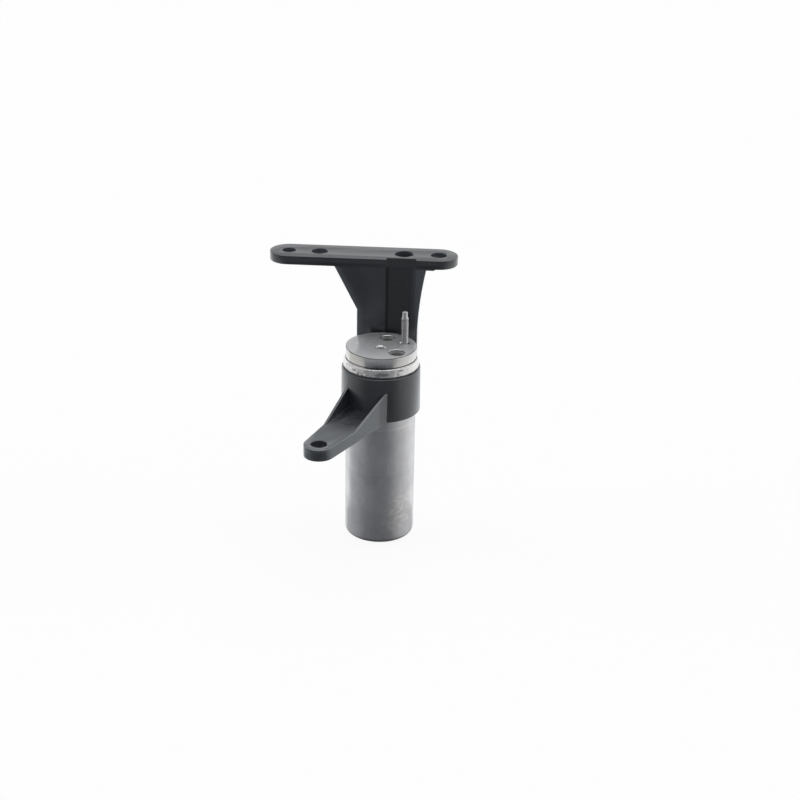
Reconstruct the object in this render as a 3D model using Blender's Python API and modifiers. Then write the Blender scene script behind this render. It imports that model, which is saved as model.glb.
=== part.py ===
# Receiver drier: welded aluminium can with a moulded mounting bracket.
# The origin is the centre of the can's flat bottom, +Z up the can's axis,
# +X along the bracket's top plate, -Y towards the side with the arm.

import math

import bmesh
import bpy
from mathutils import Vector

# Fits
GAP = 0.0003            # clearance between pieces that seat on each other
REACH = 0.002           # how far a cutter runs past the face that it opens
MERGE = 0.0002          # how far a curve of one moulded form runs into the next
FLUSH = 0.00005         # offset between moulded faces that look flush

# Can
CAN_RADIUS = 0.030
CAN_WALL = 0.002
CAN_FLOOR = 0.003
CAN_HEIGHT = 0.1612
CAN_CORNER = 0.0038     # rounding of the lower outer edge
CAN_INNER_CORNER = 0.002
GROOVE_WIDTH = 0.0043
GROOVE_DEPTH = 0.001
GROOVE_BELOW_COLLAR = 0.00745

# Head
HEAD_FLANGE = 0.01285   # from the can's rim to the flat top
HEAD_SPIGOT = 0.0048    # reach into the can
HEAD_CHAMFER = 0.0004
UNDERCUT_DEPTH = 0.0006
UNDERCUT_WIDTH = 0.0007

# Weld between can and head
WELD_WIDTH = 0.007
WELD_CROWN = 0.0023     # how far the bead stands out from the can
WELD_PREP = 0.0015      # bevel on each of the two edges that are welded

# Ports and holes in the head
PORT_DEPTH = 0.008
PORT_CHAMFER = 0.0004
OUTLET_ANGLE = math.radians(-46.04)
OUTLET_INSET = 0.00977  # from the head's edge to the port's centre
OUTLET_RADIUS = 0.0067
OUTLET_BORE_RADIUS = 0.003
INLET_ANGLE = math.radians(76.39)
INLET_INSET = 0.0127
INLET_RADIUS = 0.0061
INLET_BORE_RADIUS = 0.004
TAPPED_X = -0.00033
TAPPED_Y = -0.00446
TAPPED_RADIUS = 0.0034
TAPPED_CHAMFER = 0.001
TAPPED_DEPTH = 0.0115
DRILL_POINT = math.radians(59.0)

# Stud
STUD_ANGLE = math.radians(20.43)
STUD_INSET = 0.0096
STUD_RADIUS = 0.003
STUD_HEIGHT = 0.0284    # above the head
STUD_SEAT = 0.009       # inside the head
STUD_COUNTERSINK = 0.0008
PILOT_RADIUS = 0.00215
PILOT_LENGTH = 0.004
PILOT_TAPER = 0.002

# Pickup tube and strainer
TUBE_RADIUS = 0.004
TUBE_WALL = 0.001
TUBE_SEAT = 0.0062      # inside the head
TUBE_CLEAR_OF_FLOOR = 0.0105
STRAINER_WALL = 0.001
STRAINER_SOCKET = 0.006
STRAINER_FLOOR = 0.0012
STRAINER_CLEAR_OF_FLOOR = 0.0004
SCREEN_WALL = 0.0004
SCREEN_PLAY = 0.0008    # radial room for the screen outside the tube
STRAINER_WINDOWS = 6
STRAINER_WINDOW_WIDTH = 0.0028

# Drying bed, from the rolled groove up
PLATE_THICKNESS = 0.0012
PAD_THICKNESS = 0.0035
PLATE_HOLE_RADIUS = 0.0016
PLATE_RINGS = ((0.235, 6), (0.505, 10), (0.812, 14))    # share of the radius, and holes
SPRING_CLEAR_OF_TUBE = 0.0047
SPRING_WIRE = 0.0008    # half the wire's diameter
SPRING_TURNS = 3
SPRING_FREE_HEIGHT = 0.0078
BUSH_WALL = 0.001
BUSH_LIP = 0.0012
BUSH_LIP_HEIGHT = 0.001

# Bracket: collar
COLLAR_BELOW_RIM = 0.0047    # from the can's rim to the collar's top
COLLAR_HEIGHT = 0.0388
COLLAR_WALL = 0.0031    # at the rim
COLLAR_DRAFT = 0.0004   # growth of the outer radius down to the bottom
COLLAR_RIM_ROUND = 0.0011
COLLAR_FOOT_ROUND = 0.0004

# Bracket: top plate
PLATE_TOP = 0.23925
TOP_PLATE_THICKNESS = 0.0078
TOP_PLATE_HALF_WIDTH = 0.0164
TOP_PLATE_ROUND = 0.0006
PLATE_LEFT_X = -0.0836      # centre of the left end's arc and its hole
PLATE_RIGHT_X = 0.04485     # centre of the right end's arc and its hole
PLATE_LEFT_INNER_X = -0.0572
PLATE_RIGHT_INNER_X = 0.0151
PLATE_LEFT_HOLE = 0.006
PLATE_LEFT_INNER_HOLE = 0.0071
PLATE_RIGHT_INNER_HOLE = 0.0081
PLATE_RIGHT_HOLE = 0.007
HOLE_CHAMFER = 0.0004

# Bracket: coring of the thick parts from below
MOULDED_SKIN = 0.003
MOULDED_RIB = 0.0022
BOSS_WALL = 0.003

# Bracket: neck
NECK_LEFT_X = -0.0237
NECK_SHOULDER = 0.4896      # where the left edge starts to lean out, as a share of the neck's height
NECK_LEFT_TOP_X = -0.0432
NECK_RIGHT_X = 0.0284
NECK_RIGHT_TOP_X = 0.0349
NECK_RIGHT_STRAIGHT = 0.33  # share of the right edge's lean that is even; the rest grows upwards
WING_ROOT_DROP = 0.0012     # the plate's right wing is thicker beside the neck
WING_ROOT_FLAT = 0.62       # share of the way from the neck to the round end that stays thick
NECK_PANEL = 0.0035
NECK_FLANGE = 0.003
NECK_EDGE = 0.0009          # chamfer along the left front edge
NECK_FOOT_DEPTH = 0.011     # from the panel's face to the back, at the collar
NECK_BACK_BEND = 0.258      # where back and right edge start to sweep out, a share of the height
RECESS_LEFT_X = 0.0011
RECESS_RIGHT_X = 0.0263
RECESS_DEPTH = 0.0042
RECESS_CLEAR_OF_RIM = 0.001
SADDLE_CLEAR_OF_RIM = 0.002
SADDLE_DEPTH = 0.022

# Bracket: arm
ARM_END_X = -0.0422
ARM_END_Y = -0.0975
ARM_END_RADIUS = 0.0125
ARM_END_THICKNESS = 0.00956
ARM_HOLE_RADIUS = 0.0066
ARM_LEFT_ANGLE = math.radians(19.6)     # from -Y towards -X
ARM_RIGHT_ANGLE = math.radians(28.8)
ARM_WALL = 0.002
ARM_SLOPE = math.radians(20.4)          # fall of the walls' tops away from the can
ARM_SLOPE_END = 0.073       # distance from the can's axis where the walls run out

# Facets
ROUND_STEPS = 48
COLLAR_STEPS = 64
DISC_STEPS = 36
SMALL_STEPS = 20
HOLE_STEPS = 24

# Worked out from the sizes above
CAN_INNER_RADIUS = CAN_RADIUS - CAN_WALL
HEAD_TOP = CAN_HEIGHT + HEAD_FLANGE + GAP
HEAD_BOTTOM = CAN_HEIGHT - HEAD_SPIGOT
SPIGOT_RADIUS = CAN_INNER_RADIUS - GAP
BED_RADIUS = CAN_INNER_RADIUS - GAP
TUBE_HOLE_RADIUS = TUBE_RADIUS + GAP
OUTLET_REACH = CAN_RADIUS - OUTLET_INSET
OUTLET_X = OUTLET_REACH * math.cos(OUTLET_ANGLE)
OUTLET_Y = OUTLET_REACH * math.sin(OUTLET_ANGLE)
INLET_X = (CAN_RADIUS - INLET_INSET) * math.cos(INLET_ANGLE)
INLET_Y = (CAN_RADIUS - INLET_INSET) * math.sin(INLET_ANGLE)
STUD_X = (CAN_RADIUS - STUD_INSET) * math.cos(STUD_ANGLE)
STUD_Y = (CAN_RADIUS - STUD_INSET) * math.sin(STUD_ANGLE)
SPRING_RADIUS = OUTLET_REACH - TUBE_RADIUS - SPRING_CLEAR_OF_TUBE
COLLAR_BORE = CAN_RADIUS + GAP
COLLAR_TOP = CAN_HEIGHT - COLLAR_BELOW_RIM
COLLAR_BOTTOM = COLLAR_TOP - COLLAR_HEIGHT
GROOVE_HEIGHT = COLLAR_BOTTOM - GROOVE_BELOW_COLLAR
COLLAR_RADIUS = COLLAR_BORE + COLLAR_WALL
PLATE_UNDERSIDE = PLATE_TOP - TOP_PLATE_THICKNESS
NECK_FACE_Y = CAN_RADIUS + WELD_CROWN + GAP
TOP_PLATE_Y = NECK_FACE_Y - FLUSH + TOP_PLATE_HALF_WIDTH
NECK_SHOULDER_Z = COLLAR_TOP + NECK_SHOULDER * (PLATE_UNDERSIDE - COLLAR_TOP)
NECK_BACK_BEND_Z = COLLAR_TOP + NECK_BACK_BEND * (PLATE_UNDERSIDE - COLLAR_TOP)
ARM_TOP = COLLAR_BOTTOM + ARM_END_THICKNESS
PLATE_BACK_Y = TOP_PLATE_Y + TOP_PLATE_HALF_WIDTH
NECK_TOP = PLATE_TOP - TOP_PLATE_THICKNESS / 3
WING_ROOT_Z = PLATE_UNDERSIDE - WING_ROOT_DROP
NECK_LEAN = (NECK_LEFT_TOP_X - NECK_LEFT_X) / (PLATE_UNDERSIDE - NECK_SHOULDER_Z)
BRACKET_FOOT = COLLAR_BOTTOM + COLLAR_FOOT_ROUND
COLLAR_MIDDLE = (COLLAR_BORE + COLLAR_RADIUS) / 2
ARM_SPAN = math.hypot(ARM_END_X, ARM_END_Y)
ARM_TURN = -math.pi / 2 - (ARM_LEFT_ANGLE + ARM_RIGHT_ANGLE) / 2

PARTS = "receiver_drier"
CUTTERS = "cutters"


def clear_scene():
    for item in list(bpy.data.objects):
        bpy.data.objects.remove(item, do_unlink=True)


def make_collection(name):
    collection = bpy.data.collections.new(name)
    bpy.context.scene.collection.children.link(collection)
    return collection


def make_material(name, colour, roughness, metallic):
    material = bpy.data.materials.new(name)
    material.use_nodes = True
    shader = material.node_tree.nodes["Principled BSDF"]
    shader.inputs["Base Color"].default_value = (*colour, 1.0)
    shader.inputs["Roughness"].default_value = roughness
    shader.inputs["Metallic"].default_value = metallic
    material.diffuse_color = (*colour, 1.0)
    return material


def add_object(name, data, collection):
    item = bpy.data.objects.new(name, data)
    bpy.data.collections[collection].objects.link(item)
    return item


def as_cutter(item):
    item.hide_render = True
    item.display_type = "WIRE"
    return item


def arc(centre, radius, start, end, count):
    """Points on an arc, angles in degrees."""
    points = []
    for step in range(count):
        angle = math.radians(start + (end - start) * step / (count - 1))
        points.append((centre[0] + radius * math.cos(angle), centre[1] + radius * math.sin(angle)))
    return points


def turned(name, profile, steps=ROUND_STEPS, collection=PARTS, closed=False, at=(0.0, 0.0)):
    """A profile of (radius, height) points turned about an upright axis."""
    edges = [(i, i + 1) for i in range(len(profile) - 1)]
    if closed:
        edges.append((len(profile) - 1, 0))
    mesh = bpy.data.meshes.new(name)
    mesh.from_pydata([(radius, 0.0, height) for radius, height in profile], edges, [])
    item = add_object(name, mesh, collection)
    item.location = (at[0], at[1], 0.0)
    screw = item.modifiers.new("turn", "SCREW")
    screw.axis = "Z"
    screw.angle = math.tau
    screw.steps = steps
    screw.render_steps = steps
    screw.use_merge_vertices = True
    screw.merge_threshold = 0.00001
    screw.use_smooth_shade = True
    return item


def prism(name, outline, low, high, collection=CUTTERS, rounding=0.0):
    """A flat outline filled and given a thickness, as a closed mesh lying in XY."""
    curve = bpy.data.curves.new(name, "CURVE")
    curve.dimensions = "2D"
    curve.fill_mode = "BOTH"
    curve.extrude = (high - low) / 2 - rounding
    curve.bevel_depth = rounding
    curve.bevel_resolution = 1
    curve.offset = -rounding
    spline = curve.splines.new("POLY")
    spline.points.add(len(outline) - 1)
    for point, (x, y) in zip(spline.points, outline):
        point.co = (x, y, 0.0, 1.0)
    spline.use_cyclic_u = True
    drawn = bpy.data.objects.new(name, curve)
    bpy.context.scene.collection.objects.link(drawn)
    depsgraph = bpy.context.evaluated_depsgraph_get()
    mesh = bpy.data.meshes.new_from_object(drawn.evaluated_get(depsgraph))
    bpy.data.objects.remove(drawn)
    work = bmesh.new()
    work.from_mesh(mesh)
    bmesh.ops.remove_doubles(work, verts=work.verts, dist=0.00001)
    bmesh.ops.translate(work, verts=work.verts, vec=(0.0, 0.0, (low + high) / 2))
    bmesh.ops.recalc_face_normals(work, faces=work.faces)
    work.to_mesh(mesh)
    work.free()
    mesh.name = name
    return add_object(name, mesh, collection)


def stand_in_xz(item):
    """Turns an outline drawn in XY so that its second axis points up and its thickness runs along Y."""
    for vertex in item.data.vertices:
        x, y, z = vertex.co
        vertex.co = (x, z, y)
    item.data.flip_normals()
    return item


def stand_in_yz(item):
    """Turns an outline drawn in XY so that it lies in YZ and its thickness runs along X."""
    for vertex in item.data.vertices:
        x, y, z = vertex.co
        vertex.co = (z, x, y)
    return item


def block(name, low, high):
    """A box cutter between two corners."""
    mesh = bpy.data.meshes.new(name)
    work = bmesh.new()
    bmesh.ops.create_cube(work, size=1.0)
    size = Vector(high) - Vector(low)
    bmesh.ops.scale(work, verts=work.verts, vec=size)
    bmesh.ops.translate(work, verts=work.verts, vec=(Vector(low) + Vector(high)) / 2)
    work.to_mesh(mesh)
    work.free()
    return as_cutter(add_object(name, mesh, CUTTERS))


def rod(name, radius, low, high, at=(0.0, 0.0), steps=HOLE_STEPS):
    """An upright cylinder cutter."""
    mesh = bpy.data.meshes.new(name)
    work = bmesh.new()
    bmesh.ops.create_cone(work, cap_ends=True, segments=steps, radius1=radius, radius2=radius,
                          depth=high - low)
    bmesh.ops.translate(work, verts=work.verts, vec=(at[0], at[1], (low + high) / 2))
    work.to_mesh(mesh)
    work.free()
    return as_cutter(add_object(name, mesh, CUTTERS))


def boolean(target, tool, operation="DIFFERENCE"):
    as_cutter(tool)
    modifier = target.modifiers.new(tool.name, "BOOLEAN")
    modifier.operation = operation
    modifier.solver = "EXACT"
    modifier.object = tool
    return target


def finish(item, material, angle=30.0):
    """Gives a piece its material and shades its round faces smooth."""
    item.data.materials.append(material)
    item.data.shade_smooth()
    if item.data.polygons:
        item.data.set_sharp_from_angle(angle=math.radians(angle))
    return item


def groove_points(radius, count=5):
    """The rolled groove's section from its upper to its lower edge, for one face of the can's wall."""
    points = []
    for step in range(count):
        turn = math.tau * step / (count - 1)
        height = GROOVE_HEIGHT + GROOVE_WIDTH * (0.5 - step / (count - 1))
        points.append((radius - GROOVE_DEPTH * (1 - math.cos(turn)) / 2, height))
    return points


def make_can():
    inner_corner = (CAN_INNER_RADIUS - CAN_INNER_CORNER, CAN_FLOOR + CAN_INNER_CORNER)
    inner = arc(inner_corner, CAN_INNER_CORNER, 270, 360, 3)
    outer = arc((CAN_RADIUS - CAN_CORNER, CAN_CORNER), CAN_CORNER, 0, -90, 5)
    rim = [
        (CAN_INNER_RADIUS, CAN_HEIGHT),
        (CAN_RADIUS - WELD_PREP, CAN_HEIGHT),
        (CAN_RADIUS, CAN_HEIGHT - WELD_PREP),
    ]
    profile = [(0.0, CAN_FLOOR)] + inner + groove_points(CAN_INNER_RADIUS)[::-1] + rim
    profile += groove_points(CAN_RADIUS) + outer + [(0.0, 0.0)]
    return finish(turned("can", profile), make_material("drawn_aluminium", (0.62, 0.63, 0.65), 0.34, 1.0))


def port_cutter(name, at, radius, bore_radius, tube_radius=None):
    """A stepped port: chamfer, counterbore, bore, and below it the seat of a tube where it has one."""
    shoulder = HEAD_TOP - PORT_DEPTH
    profile = [
        (0.0, HEAD_TOP + REACH),
        (radius + PORT_CHAMFER + REACH, HEAD_TOP + REACH),
        (radius, HEAD_TOP - PORT_CHAMFER),
        (radius, shoulder),
        (bore_radius, shoulder),
    ]
    end = bore_radius
    if tube_radius:
        profile += [(bore_radius, HEAD_BOTTOM + TUBE_SEAT), (tube_radius, HEAD_BOTTOM + TUBE_SEAT)]
        end = tube_radius
    profile += [(end, HEAD_BOTTOM - REACH), (0.0, HEAD_BOTTOM - REACH)]
    return turned(name, profile, HOLE_STEPS, CUTTERS, at=at)


def drill_cutter(name, at, radius, depth, chamfer):
    """A blind drilled hole with a chamfered mouth and a drill point."""
    profile = [
        (0.0, HEAD_TOP + REACH),
        (radius + chamfer + REACH, HEAD_TOP + REACH),
        (radius, HEAD_TOP - chamfer),
        (radius, HEAD_TOP - depth),
        (0.0, HEAD_TOP - depth - radius / math.tan(DRILL_POINT)),
    ]
    return turned(name, profile, SMALL_STEPS, CUTTERS, at=at)


def make_head():
    weld_line = CAN_HEIGHT + GAP
    undercut_top = CAN_HEIGHT + WELD_WIDTH / 2 + GAP + UNDERCUT_WIDTH
    profile = [
        (0.0, HEAD_TOP),
        (CAN_RADIUS - HEAD_CHAMFER, HEAD_TOP),
        (CAN_RADIUS, HEAD_TOP - HEAD_CHAMFER),
        (CAN_RADIUS, undercut_top),
        (CAN_RADIUS - UNDERCUT_DEPTH, undercut_top),
        (CAN_RADIUS - UNDERCUT_DEPTH, undercut_top - UNDERCUT_WIDTH),
        (CAN_RADIUS, undercut_top - UNDERCUT_WIDTH),
        (CAN_RADIUS, weld_line + WELD_PREP),
        (CAN_RADIUS - WELD_PREP, weld_line),
        (SPIGOT_RADIUS, weld_line),
        (SPIGOT_RADIUS, HEAD_BOTTOM + HEAD_CHAMFER),
        (SPIGOT_RADIUS - HEAD_CHAMFER, HEAD_BOTTOM),
        (0.0, HEAD_BOTTOM),
    ]
    head = turned("head", profile)
    boolean(head, port_cutter("outlet_port", (OUTLET_X, OUTLET_Y), OUTLET_RADIUS, OUTLET_BORE_RADIUS,
                              TUBE_HOLE_RADIUS))
    boolean(head, port_cutter("inlet_port", (INLET_X, INLET_Y), INLET_RADIUS, INLET_BORE_RADIUS))
    boolean(head, drill_cutter("tapped_hole", (TAPPED_X, TAPPED_Y), TAPPED_RADIUS, TAPPED_DEPTH,
                               TAPPED_CHAMFER))
    boolean(head, drill_cutter("stud_hole", (STUD_X, STUD_Y), STUD_RADIUS + GAP, STUD_SEAT,
                               STUD_COUNTERSINK))
    return finish(head, make_material("turned_aluminium", (0.66, 0.67, 0.69), 0.28, 1.0))


def make_weld_bead():
    """A crowned ring whose root fills the groove between the two bevelled edges."""
    middle = CAN_HEIGHT + GAP / 2
    half = WELD_WIDTH / 2
    skin = CAN_RADIUS + GAP
    edge = skin + GAP / 2
    rise = CAN_RADIUS + WELD_CROWN - edge
    crown = []
    for step in range(9):
        turn = math.pi * step / 8
        crown.append((edge + rise * math.sin(turn), middle + half * math.cos(turn)))
    root_half = WELD_PREP - GAP / 2
    root = [
        (skin, middle - half),
        (skin, middle - root_half),
        (CAN_RADIUS - WELD_PREP + 3 * GAP, middle),
        (skin, middle + root_half),
        (skin, middle + half),
    ]
    bead = turned("weld_bead", crown + root, closed=True)
    return finish(bead, make_material("weld_metal", (0.78, 0.78, 0.80), 0.30, 1.0), 50.0)


def make_stud():
    foot = HEAD_TOP - STUD_SEAT + GAP
    tip = HEAD_TOP + STUD_HEIGHT
    shoulder = tip - PILOT_LENGTH - PILOT_TAPER
    edge = STUD_RADIUS / 8
    profile = [
        (0.0, tip),
        (PILOT_RADIUS - edge, tip),
        (PILOT_RADIUS, tip - edge),
        (PILOT_RADIUS, tip - PILOT_LENGTH),
        (STUD_RADIUS, shoulder),
        (STUD_RADIUS, foot + edge),
        (STUD_RADIUS - edge, foot),
        (0.0, foot),
    ]
    stud = turned("stud", profile, SMALL_STEPS, at=(STUD_X, STUD_Y))
    return finish(stud, make_material("plated_steel", (0.60, 0.61, 0.63), 0.32, 1.0))


def bed_heights():
    """Lower and upper face of each layer of the drying bed, from the groove up to the spring."""
    lower = GROOVE_HEIGHT + GROOVE_WIDTH / 2 - GAP
    layers = {"lower_plate": (lower, lower + PLATE_THICKNESS)}
    level = lower + PLATE_THICKNESS + GAP
    layers["lower_pad"] = (level, level + PAD_THICKNESS)
    bed_bottom = level + PAD_THICKNESS + GAP
    spring_top = HEAD_BOTTOM - GAP
    level = spring_top - SPRING_FREE_HEIGHT - GAP
    layers["spring"] = (level + GAP, spring_top)
    layers["upper_plate"] = (level - PLATE_THICKNESS, level)
    level -= PLATE_THICKNESS + GAP
    layers["upper_pad"] = (level - PAD_THICKNESS, level)
    layers["desiccant_bed"] = (bed_bottom, level - PAD_THICKNESS - GAP)
    return layers


def disc_profile(low, high, rounding):
    return [
        (0.0, high),
        (BED_RADIUS - rounding, high),
        (BED_RADIUS, high - rounding),
        (BED_RADIUS, low + rounding),
        (BED_RADIUS - rounding, low),
        (0.0, low),
    ]


def make_disc(name, low, high, hole_radius, material, rounding):
    disc = turned(name, disc_profile(low, high, rounding), DISC_STEPS)
    boolean(disc, rod(name + "_tube_hole", hole_radius, low - REACH, high + REACH, (OUTLET_X, OUTLET_Y),
                      SMALL_STEPS))
    return finish(disc, material)


def perforate(plate, low, high, keep_clear):
    """Rings of round holes, leaving out those that would run into the tube's hole."""
    work = bmesh.new()
    tube = Vector((OUTLET_X, OUTLET_Y, 0.0))
    for share, count in PLATE_RINGS:
        for index in range(count):
            angle = math.tau * index / count
            centre = Vector((math.cos(angle), math.sin(angle), 0.0)) * share * BED_RADIUS
            if (centre - tube).length < keep_clear + 2 * PLATE_HOLE_RADIUS:
                continue
            made = bmesh.ops.create_cone(work, cap_ends=True, segments=8, radius1=PLATE_HOLE_RADIUS,
                                         radius2=PLATE_HOLE_RADIUS, depth=high - low + 2 * REACH)
            bmesh.ops.translate(work, verts=made["verts"], vec=centre + Vector((0.0, 0.0, (low + high) / 2)))
    mesh = bpy.data.meshes.new(plate.name + "_holes")
    work.to_mesh(mesh)
    work.free()
    return boolean(plate, add_object(mesh.name, mesh, CUTTERS))


def make_drying_bed():
    layers = bed_heights()
    felt = make_material("felt", (0.72, 0.70, 0.64), 0.95, 0.0)
    plate = make_material("punched_aluminium", (0.60, 0.61, 0.63), 0.40, 1.0)
    beads = make_material("molecular_sieve", (0.58, 0.48, 0.38), 0.85, 0.0)
    bush_hole = TUBE_HOLE_RADIUS + BUSH_WALL + GAP
    lower_plate = make_disc("lower_plate", *layers["lower_plate"], bush_hole, plate, 0.0002)
    upper_plate = make_disc("upper_plate", *layers["upper_plate"], TUBE_HOLE_RADIUS, plate, 0.0002)
    perforate(lower_plate, *layers["lower_plate"], bush_hole)
    perforate(upper_plate, *layers["upper_plate"], TUBE_HOLE_RADIUS)
    make_disc("lower_pad", *layers["lower_pad"], bush_hole + BUSH_LIP, felt, 0.0006)
    make_disc("upper_pad", *layers["upper_pad"], TUBE_HOLE_RADIUS, felt, 0.0006)
    make_disc("desiccant_bed", *layers["desiccant_bed"], TUBE_HOLE_RADIUS, beads, 0.0006)
    make_tube_bush(*layers["lower_plate"])
    make_spring(*layers["spring"])


def make_tube_bush(plate_low, plate_high):
    """A flanged sleeve that sits in the lower plate and guides the tube."""
    outer = TUBE_HOLE_RADIUS + BUSH_WALL
    lip = plate_high + GAP
    profile = [
        (outer + BUSH_LIP, lip + BUSH_LIP_HEIGHT),
        (outer + BUSH_LIP, lip),
        (outer, lip),
        (outer, plate_low - BUSH_LIP_HEIGHT),
        (TUBE_HOLE_RADIUS, plate_low - BUSH_LIP_HEIGHT),
        (TUBE_HOLE_RADIUS, lip + BUSH_LIP_HEIGHT),
    ]
    bush = turned("tube_bush", profile, SMALL_STEPS, closed=True, at=(OUTLET_X, OUTLET_Y))
    return finish(bush, make_material("natural_nylon", (0.80, 0.78, 0.70), 0.45, 0.0))


def make_spring(low, high):
    """A coil with one flat turn's worth of closing at each end."""
    curve = bpy.data.curves.new("spring", "CURVE")
    curve.dimensions = "3D"
    curve.bevel_depth = SPRING_WIRE
    curve.bevel_resolution = 2
    curve.use_fill_caps = True
    per_turn = 18
    count = SPRING_TURNS * per_turn + 1
    rise = high - low - 2 * SPRING_WIRE
    spline = curve.splines.new("POLY")
    spline.points.add(count - 1)
    for index, point in enumerate(spline.points):
        share = index / (count - 1)
        eased = share - math.sin(math.tau * share) / math.tau
        angle = math.tau * SPRING_TURNS * share
        height = low + SPRING_WIRE + rise * eased
        point.co = (SPRING_RADIUS * math.cos(angle), SPRING_RADIUS * math.sin(angle), height, 1.0)
    spring = add_object("spring", curve, PARTS)
    curve.materials.append(make_material("spring_steel", (0.45, 0.46, 0.48), 0.30, 1.0))
    return spring


def make_pickup_tube():
    low = CAN_FLOOR + TUBE_CLEAR_OF_FLOOR
    high = HEAD_BOTTOM + TUBE_SEAT - GAP
    inner = TUBE_RADIUS - TUBE_WALL
    profile = [(TUBE_RADIUS, high), (TUBE_RADIUS, low), (inner, low), (inner, high)]
    tube = turned("pickup_tube", profile, SMALL_STEPS, closed=True, at=(OUTLET_X, OUTLET_Y))
    return finish(tube, make_material("tube_aluminium", (0.64, 0.65, 0.67), 0.36, 1.0))


def make_strainer():
    """A cup that grips the tube's end, with windows all round, and the screen that stands inside it."""
    at = (OUTLET_X, OUTLET_Y)
    foot = CAN_FLOOR + STRAINER_CLEAR_OF_FLOOR
    tube_end = CAN_FLOOR + TUBE_CLEAR_OF_FLOOR
    top = tube_end + STRAINER_SOCKET
    screen_inner = TUBE_RADIUS + SCREEN_PLAY - SCREEN_WALL
    cavity = TUBE_RADIUS + SCREEN_PLAY + GAP
    outer = cavity + STRAINER_WALL
    cavity_low = foot + STRAINER_FLOOR
    cavity_high = tube_end - GAP
    profile = [
        (0.0, cavity_low),
        (cavity, cavity_low),
        (cavity, cavity_high),
        (TUBE_HOLE_RADIUS, cavity_high),
        (TUBE_HOLE_RADIUS, top),
        (outer, top),
        (outer, foot),
        (0.0, foot),
    ]
    frame = turned("strainer_frame", profile, SMALL_STEPS, at=at)
    window_low = cavity_low + STRAINER_FLOOR
    window_high = cavity_high - STRAINER_FLOOR
    for index in range(STRAINER_WINDOWS):
        half = STRAINER_WINDOW_WIDTH / 2
        window = block(f"strainer_window_{index + 1}", (cavity - STRAINER_WALL / 2, -half, window_low),
                       (outer + STRAINER_WALL, half, window_high))
        window.location = (at[0], at[1], 0.0)
        window.rotation_euler = (0.0, 0.0, math.tau * index / STRAINER_WINDOWS)
        boolean(frame, window)
    finish(frame, make_material("grey_nylon", (0.35, 0.36, 0.38), 0.50, 0.0))
    low = cavity_low + GAP
    high = cavity_high - GAP
    sleeve = [
        (screen_inner + SCREEN_WALL, high),
        (screen_inner + SCREEN_WALL, low),
        (screen_inner, low),
        (screen_inner, high),
    ]
    screen = turned("strainer_screen", sleeve, SMALL_STEPS, closed=True, at=at)
    finish(screen, make_material("wire_screen", (0.55, 0.56, 0.58), 0.45, 1.0))


def make_collar():
    foot_radius = COLLAR_RADIUS + COLLAR_DRAFT
    rim = arc((COLLAR_RADIUS - COLLAR_RIM_ROUND, COLLAR_TOP - COLLAR_RIM_ROUND), COLLAR_RIM_ROUND, 90, 0, 4)
    foot = [
        (foot_radius, COLLAR_BOTTOM + COLLAR_FOOT_ROUND),
        (foot_radius - COLLAR_FOOT_ROUND, COLLAR_BOTTOM),
    ]
    bore = [
        (COLLAR_BORE, COLLAR_BOTTOM),
        (COLLAR_BORE, COLLAR_TOP - COLLAR_FOOT_ROUND),
        (COLLAR_BORE + COLLAR_FOOT_ROUND, COLLAR_TOP),
    ]
    return turned("bracket", rim + foot + bore, COLLAR_STEPS, closed=True)


def neck_right_edge(inset):
    """Right edge of the neck from the bend up, moved in by an inset: it leans out ever more."""
    points = []
    for step in range(7):
        share = step / 6
        lean = NECK_RIGHT_STRAIGHT * share + (1 - NECK_RIGHT_STRAIGHT) * share * share
        height = NECK_BACK_BEND_Z + (WING_ROOT_Z - NECK_BACK_BEND_Z) * share
        points.append((NECK_RIGHT_X + (NECK_RIGHT_TOP_X - NECK_RIGHT_X) * lean - inset, height))
    return points


def neck_outline():
    """Front view of the neck: left edge with its shoulder, swept right edge, and the right wing's root."""
    root_end = NECK_RIGHT_TOP_X + WING_ROOT_FLAT * (PLATE_RIGHT_X - NECK_RIGHT_TOP_X)
    return [
        (NECK_LEFT_X, BRACKET_FOOT),
        (NECK_RIGHT_X, BRACKET_FOOT),
    ] + neck_right_edge(0.0) + [
        (root_end, WING_ROOT_Z),
        (PLATE_RIGHT_X, PLATE_UNDERSIDE + TOP_PLATE_ROUND + 2 * MERGE),
        (PLATE_RIGHT_X, NECK_TOP),
        (NECK_LEFT_X + NECK_LEAN * (NECK_TOP - NECK_SHOULDER_Z), NECK_TOP),
        (NECK_LEFT_X, NECK_SHOULDER_Z),
    ]


def neck_side():
    """Side view of the neck: upright face, and flanges that widen in a curve to carry the plate."""
    shallow = NECK_FACE_Y + NECK_FOOT_DEPTH
    deep = PLATE_BACK_Y - 3 * TOP_PLATE_ROUND
    sweep = []
    for step in range(9):
        share = step / 8
        height = NECK_BACK_BEND_Z + (PLATE_UNDERSIDE + MERGE - NECK_BACK_BEND_Z) * share
        sweep.append((shallow + (deep - shallow) * (1 - math.sqrt(1 - share * share)), height))
    return [
        (NECK_FACE_Y - REACH, BRACKET_FOOT - REACH),
        (shallow, BRACKET_FOOT - REACH),
    ] + sweep + [
        (deep, NECK_TOP + REACH),
        (NECK_FACE_Y - REACH, NECK_TOP + REACH),
    ]


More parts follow.
